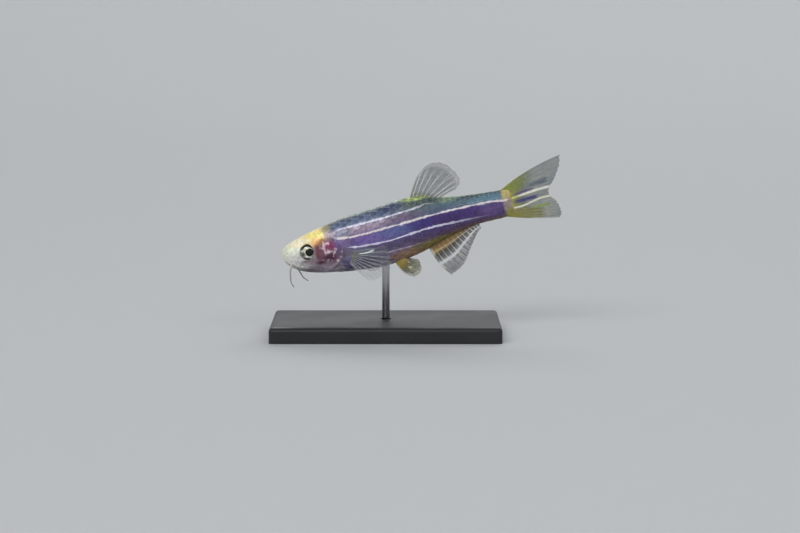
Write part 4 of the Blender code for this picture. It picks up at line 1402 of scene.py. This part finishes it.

# %% [markdown]
# Fin film is nearly clear, so most of its look is alpha: dense and coloured at the root, almost
# gone at the margin. Pigment lies in streaks along some rays and in bands across others, while
# the pectoral streak and the two cream-white streaks of the pelvic fins are painted highlights.
# The tail has an olive root, two pale streaks and violet between them, and the anal fin an ochre
# base, clear windows and a pale band.

# %% Materials of the fins
FIN_LOOKS = {
    "dorsal": dict(root="9aa650", film="4a525b", ray="ecece2", dense=0.80, thin=0.38,
                   root_reach=0.16, ray_ends=(1.0, 0.50)),
    "anal": dict(root="94743e", film="3e404a", ray="e2e2d8", dense=0.95, thin=0.42,
                 root_reach=0.36, ray_ends=(0.90, 0.70)),
    "tail": dict(root="a09e50", film="4a545e", ray="c8ccae", dense=0.97, thin=0.40,
                 root_reach=0.34, ray_ends=(0.95, 0.50)),
    "pectoral": dict(root="908f7c", film="70747c", ray="e6e6e4", dense=0.55, thin=0.13,
                     root_reach=0.14, ray_ends=(0.48, 0.28)),
    "pelvic": dict(root="8e7e38", film="565450", ray="d8d4a8", dense=0.94, thin=0.28,
                   root_reach=0.44, ray_ends=(0.75, 0.50)),
}
FIN_STREAKS = {  # share at root and tip, half width, from and to in reach, tint, strength
    "tail": (
        (0.08, 0.12, 0.15, -0.20, 0.66, "7a8440", 0.75),
        (0.90, 0.88, 0.16, -0.20, 0.92, "827f3a", 0.85),
        (0.80, 0.80, 0.05, 0.06, 0.42, "94786a", 0.55),
        (0.76, 0.75, 0.03, 0.50, 0.95, "8fa04a", 0.75),
        (0.25, 0.25, 0.06, 0.40, 0.98, "42546a", 0.70),
        (0.35, 0.35, 0.035, 0.22, 0.72, "55467c", 0.90),
        (0.55, 0.53, 0.045, 0.22, 0.84, "403a74", 0.95),
        (1.00, 1.00, 0.022, 0.45, 1.10, "c4c8c6", 0.75),
        (0.415, 0.39, 0.032, 0.02, 0.85, "d4d08a", 0.90),
        (0.415, 0.39, 0.030, 0.34, 1.15, "eceae0", 0.90),
        (0.72, 0.58, 0.024, 0.10, 1.15, "ecead4", 0.92),
    ),
    # a painted highlight along the upper rays of the pectoral fin
    "pectoral": ((0.12, 0.00, 0.026, 0.16, 0.70, "eef4f6", 0.90),),
    # the first two pelvic streaks are painted highlights
    "pelvic": ((0.82, 0.82, 0.07, 0.36, 0.60, "f4f0c8", 0.90),
               (0.47, 0.47, 0.07, 0.44, 0.74, "f4f0c8", 0.90),
               (0.00, 0.00, 0.06, 0.15, 1.15, "ccceca", 0.85)),
    "dorsal": ((0.00, 0.00, 0.03, 0.10, 1.10, "c4c8b8", 0.70),),
    "anal": ((0.00, 0.00, 0.035, 0.10, 1.10, "d4d6ca", 0.85),),
}
FIN_BANDS = {  # reach at the first ray and at the last one, half width in reach, tint, strength
    "anal": ((0.45, 0.60, 0.11, "24262c", 0.70), (0.27, 0.47, 0.026, "c4b080", 0.70),
             (0.61, 0.76, 0.050, "dcdee0", 0.92), (0.88, 0.95, 0.100, "5a5268", 0.60)),
    "dorsal": ((0.96, 0.96, 0.075, "c2c2c2", 0.60),),
}
RAYS_SHOW_OVER = 0.03  # half width of a streak, past which the rays show through it
STREAK_BEND = (0.25, 0.88)  # the reach over which a streak moves from its first share to its last
STREAK_ALPHA, BAND_ALPHA = 0.92, 0.80


def line_over(tree, value, middle, half, strength):
    off = maths(tree, "ABSOLUTE", maths(tree, "SUBTRACT", value, middle))
    return fade(tree, off, half * 1.4, half * 0.5, 0.0, strength)


def fin_pigment(tree, kind, share, reach):
    """Colour and alpha of a fin's film, and how much of a ray's own tint shows over it."""
    look = FIN_LOOKS[kind]
    root = look["root_reach"]
    near_root = fade(tree, reach, root * 1.6, root * 0.4)
    colour = blend(tree, near_root, tint(look["film"]), tint(look["root"]))
    alpha = fade(tree, reach, root * 0.6, root * 1.9, look["dense"], look["thin"])
    ray_share = maths(tree, "SUBTRACT", 1.0, times(tree, near_root, 0.55))
    for start, end, half, nearer, farther, code, strength in FIN_STREAKS.get(kind, ()):
        middle = fade(tree, reach, *STREAK_BEND, start, end)
        soft = 0.08 + 1.6 * half
        line = times(tree, line_over(tree, share, middle, half, strength),
                     fade(tree, reach, nearer, nearer + soft),
                     fade(tree, reach, farther, farther - soft))
        colour = blend(tree, line, colour, tint(code))
        alpha = maths(tree, "MAXIMUM", alpha, times(tree, line, STREAK_ALPHA))
        hidden = times(tree, line, min(0.75, RAYS_SHOW_OVER / half))
        ray_share = times(tree, ray_share, maths(tree, "SUBTRACT", 1.0, hidden))
    for start, end, half, code, strength in FIN_BANDS.get(kind, ()):
        middle = fade(tree, share, 0.0, 1.0, start, end)
        line = line_over(tree, reach, middle, half, strength)
        colour = blend(tree, line, colour, tint(code))
        alpha = maths(tree, "MAXIMUM", alpha, times(tree, line, BAND_ALPHA))
    return colour, alpha, ray_share


def fin_material(fin, is_ray):
    kind = fin.split("_")[0]
    material, tree, surface = new_material(
        f"{fin} {'rays' if is_ray else 'film'}", Coat_Weight=0.15, Coat_Roughness=0.2, IOR=1.36,
        Roughness=0.38,
    )
    share, reach, _ = mark(tree, "fin_mark")
    grain = noise(tree, object_place(tree), 2200.0, 3.0)
    colour, alpha, ray_share = fin_pigment(tree, kind, share, reach)
    if is_ray:
        colour = blend(tree, ray_share, colour, tint(FIN_LOOKS[kind]["ray"]))
        ray_alpha = fade(tree, reach, 0.3, 1.0, *FIN_LOOKS[kind]["ray_ends"])
        alpha = maths(tree, "MAXIMUM", ray_alpha, alpha)
    alpha = times(tree, alpha, fade(tree, grain, 0.3, 0.7, 0.85, 1.05))
    wire(tree, surface, Base_Color=colour, Alpha=alpha)
    give_relief(tree, surface, grain, 0.3, 0.02 * MM)
    return material


print("streaks on the tail fin:", len(FIN_STREAKS["tail"]))

# %% [markdown]
# Every fin is now one film and one set of rays from the same fan, each with its own material.

# %% Make the fins
for fin, (fan, nodes) in FANS.items():
    film = film_mesh(f"{fin}_film", fan)
    pose_mesh(film)
    finish_piece(new_object(f"{fin}_film", film), fin_material(fin, False), "fin", *nodes)
    rays_material = fin_material(fin, True)
    rays = new_object(f"{fin}_rays", ray_mesh(f"{fin}_rays", fan, RAY_RADIUS[fin.split("_")[0]]))
    use_tree(rays, ray_tree, sides=6, material=rays_material)
    pose_mesh(rays.data)
    finish_piece(rays, rays_material, "fin")

# %% [markdown]
# ## The barbels
#
# Two pairs of soft feelers hang from the mouth: a long grey pair at its corners and a short pair
# at the front, as pale as the snout. They are tapering threads, so the tree that sweeps the rays
# makes them too.

# %% Make the barbels
SHORT_BARBEL = ((0.75, 0.4, 0.25), (0.35, 1.0, 0.1), (0.45, 1.45, -0.45), (0.85, 1.65, -1.1))
BARBELS = {  # side, and places along the thread: along, out and up in millimetres
    "barbel_maxillary_left": (-1, (
        (1.7, 0.7, -1.5), (1.35, 1.35, -1.85), (1.05, 1.7, -2.6), (0.85, 1.7, -3.5),
        (0.75, 1.6, -4.4), (1.0, 1.5, -5.2))),
    "barbel_maxillary_right": (1, (
        (1.7, 0.7, -1.5), (1.5, 1.4, -1.8), (1.72, 1.8, -2.6), (2.0, 1.8, -3.5),
        (2.35, 1.7, -4.4), (3.0, 1.6, -5.05))),
    "barbel_rostral_left": (-1, SHORT_BARBEL),
    "barbel_rostral_right": (1, SHORT_BARBEL),
}
BARBEL_RADIUS = {"maxillary": 0.17, "rostral": 0.11}
BARBEL_TAPER = 0.55
BARBEL_STEPS = 40
barbel_material, barbel_tree, barbel_surface = new_material(
    "danio barbel", Coat_Weight=0.3, Coat_Roughness=0.15, Roughness=0.35,
)
_, reach, is_short = mark(barbel_tree, "fin_mark")
long_tints = bands(barbel_tree, reach, ((0.0, "cfc9bf"), (0.4, "a4a19c"), (1.0, "86857f")))
wire(barbel_tree, barbel_surface,
     Base_Color=blend(barbel_tree, is_short, long_tints, tint("dedfcf")),
     Alpha=fade(barbel_tree, reach, 0.1, 1.0, 0.95, 0.55))

for node, (side, route) in BARBELS.items():
    steps = np.linspace(0.0, 1.0, BARBEL_STEPS)
    line = smooth_curve(np.array(route) * (1, side, 1), steps) * MM
    mesh = mesh_from(node, line, [], [(n, n + 1) for n in range(len(line) - 1)])
    pair = node.split("_")[1]
    store(mesh, "ray_radius", BARBEL_RADIUS[pair] * (1 - BARBEL_TAPER * steps) * MM, "FLOAT")
    short_mark = np.full(steps.shape, float(pair == "rostral"))
    store(mesh, "fin_mark", np.stack([0 * steps, steps, short_mark], axis=-1))
    thread = new_object(node.replace("barbel", "feeler"), mesh)
    use_tree(thread, ray_tree, sides=10, material=barbel_material)
    pose_mesh(thread.data)
    finish_piece(thread, barbel_material, "barbel", node)

# %% [markdown]
# ## The stand
#
# The base and rod are plain, so that the eye stays on the fish. The base keeps its solid and
# gets a satin black finish with a faint grain. The rod is turned again here, because on the real
# thing it ends in a pin inside the belly, past the gap that the solids leave.

# %% Dress the stand
base_material, base_tree, base_surface = new_material("satin black", IOR=1.46)
place = object_place(base_tree)
broad = noise(base_tree, place, 90.0, 2.0)
wire(base_tree, base_surface, Base_Color=blend(base_tree, broad, tint("1b1b1d"), tint("232326")),
     Roughness=fade(base_tree, broad, 0.3, 0.7, 0.34, 0.46))
give_relief(base_tree, base_surface, noise(base_tree, place, 1400.0, 4.0), 0.15, 0.02 * MM)
base = frame["nodes"]["stand_base"]
base.data.materials.clear()
base.data.materials.append(base_material)
print("base dressed")

# %% [markdown]
# The rod is turned from a profile, with a small chamfer at both ends, and brushed along its
# length: the streaks of the noise are stretched upright.

# %% Turn the rod
ROD_SEGMENTS = 48
CHAMFER = 0.12 * MM
rod_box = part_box("stand_rod")
rod_top = SNOUT_HEIGHT - 0.3 * MM
rod_radius = (rod_box[1][0] - rod_box[0][0]) / 2
rod_profile = (
    (0.0, rod_box[0][2]), (rod_radius * 0.85, rod_box[0][2]),
    (rod_radius, rod_box[0][2] + CHAMFER), (rod_radius, rod_top - 0.1 * MM),
    (rod_radius * 0.8, rod_top), (0.0, rod_top),
)
rod_material, rod_tree, rod_surface = new_material("brushed steel", Metallic=1.0)
streaks = noise(rod_tree, object_place(rod_tree), 2500.0, 3.0, (1.0, 1.0, 0.04))
wire(rod_tree, rod_surface, Base_Color=blend(rod_tree, streaks, tint("a6a6a8"), tint("c4c4c6")),
     Roughness=fade(rod_tree, streaks, 0.3, 0.7, 0.22, 0.38))
rod = new_object("support_rod", turned_mesh("support_rod", rod_profile, ROD_SEGMENTS))
finish_piece(rod, rod_material, "stand_rod", "stand_rod")
rod.data.set_sharp_from_angle(angle=math.radians(40.0))

# %% [markdown]
# ## Floor and light
#
# A pale floor that curves up all round like a shallow bowl keeps the background plain from
# every side. One large soft lamp from the upper front, a weaker one from the other side and a
# strip behind the fish show its form, and the strip also glows through the fins.

# %% Floor and lamps
FLOOR_RADIUS = 0.50
RIM_RADIUS = 0.60  # of the curve from floor to wall
RIM_STEPS = 20
FLOOR_RINGS = 6
FLOOR_SEGMENTS = 96
LAMPS = {  # place, width and height in metres, watts
    "key": ((-0.45, -1.05, 0.80), (0.90, 0.70), 15.0),
    "fill": ((0.90, -0.85, 0.50), (0.80, 0.80), 6.0),
    "behind": ((0.25, 0.95, 0.95), (1.20, 0.50), 6.0),
}
LAMP_TARGET = (0.004, 0.0, 0.018)
WORLD_TINT, WORLD_STRENGTH = "dfe4ea", 0.42


def make_floor():
    """A round floor whose edge curves up all round, so that no horizon shows from any side."""
    profile = [(FLOOR_RADIUS * n / FLOOR_RINGS, 0.0) for n in range(FLOOR_RINGS + 1)]
    for step in range(1, RIM_STEPS + 1):
        angle = 0.5 * math.pi * step / RIM_STEPS
        profile.append((FLOOR_RADIUS + RIM_RADIUS * math.sin(angle),
                        RIM_RADIUS * (1 - math.cos(angle))))
    floor = new_object("floor", turned_mesh("floor", profile, FLOOR_SEGMENTS, is_bowl=True))
    floor.data.shade_smooth()
    floor_material = new_material("pale floor", Roughness=0.8, Base_Color=tint("bcbebf"))[0]
    floor.data.materials.append(floor_material)


def make_lamp(name, place, size, watts):
    data = bpy.data.lights.new(name, "AREA")
    data.shape = "RECTANGLE"
    data.size, data.size_y = size
    data.energy = watts
    lamp = bpy.data.objects.new(name, data)
    lamp.location = place
    aim_at = Vector(LAMP_TARGET) - Vector(place)
    lamp.rotation_euler = aim_at.to_track_quat("-Z", "Y").to_euler()
    bpy.context.scene.collection.objects.link(lamp)


make_floor()
for name, (place, size, watts) in LAMPS.items():
    make_lamp(name, place, size, watts)
world = bpy.data.worlds.new("studio")
world.use_nodes = True
background = world.node_tree.nodes["Background"]
wire(world.node_tree, background, Color=tint(WORLD_TINT), Strength=WORLD_STRENGTH)
bpy.context.scene.world = world
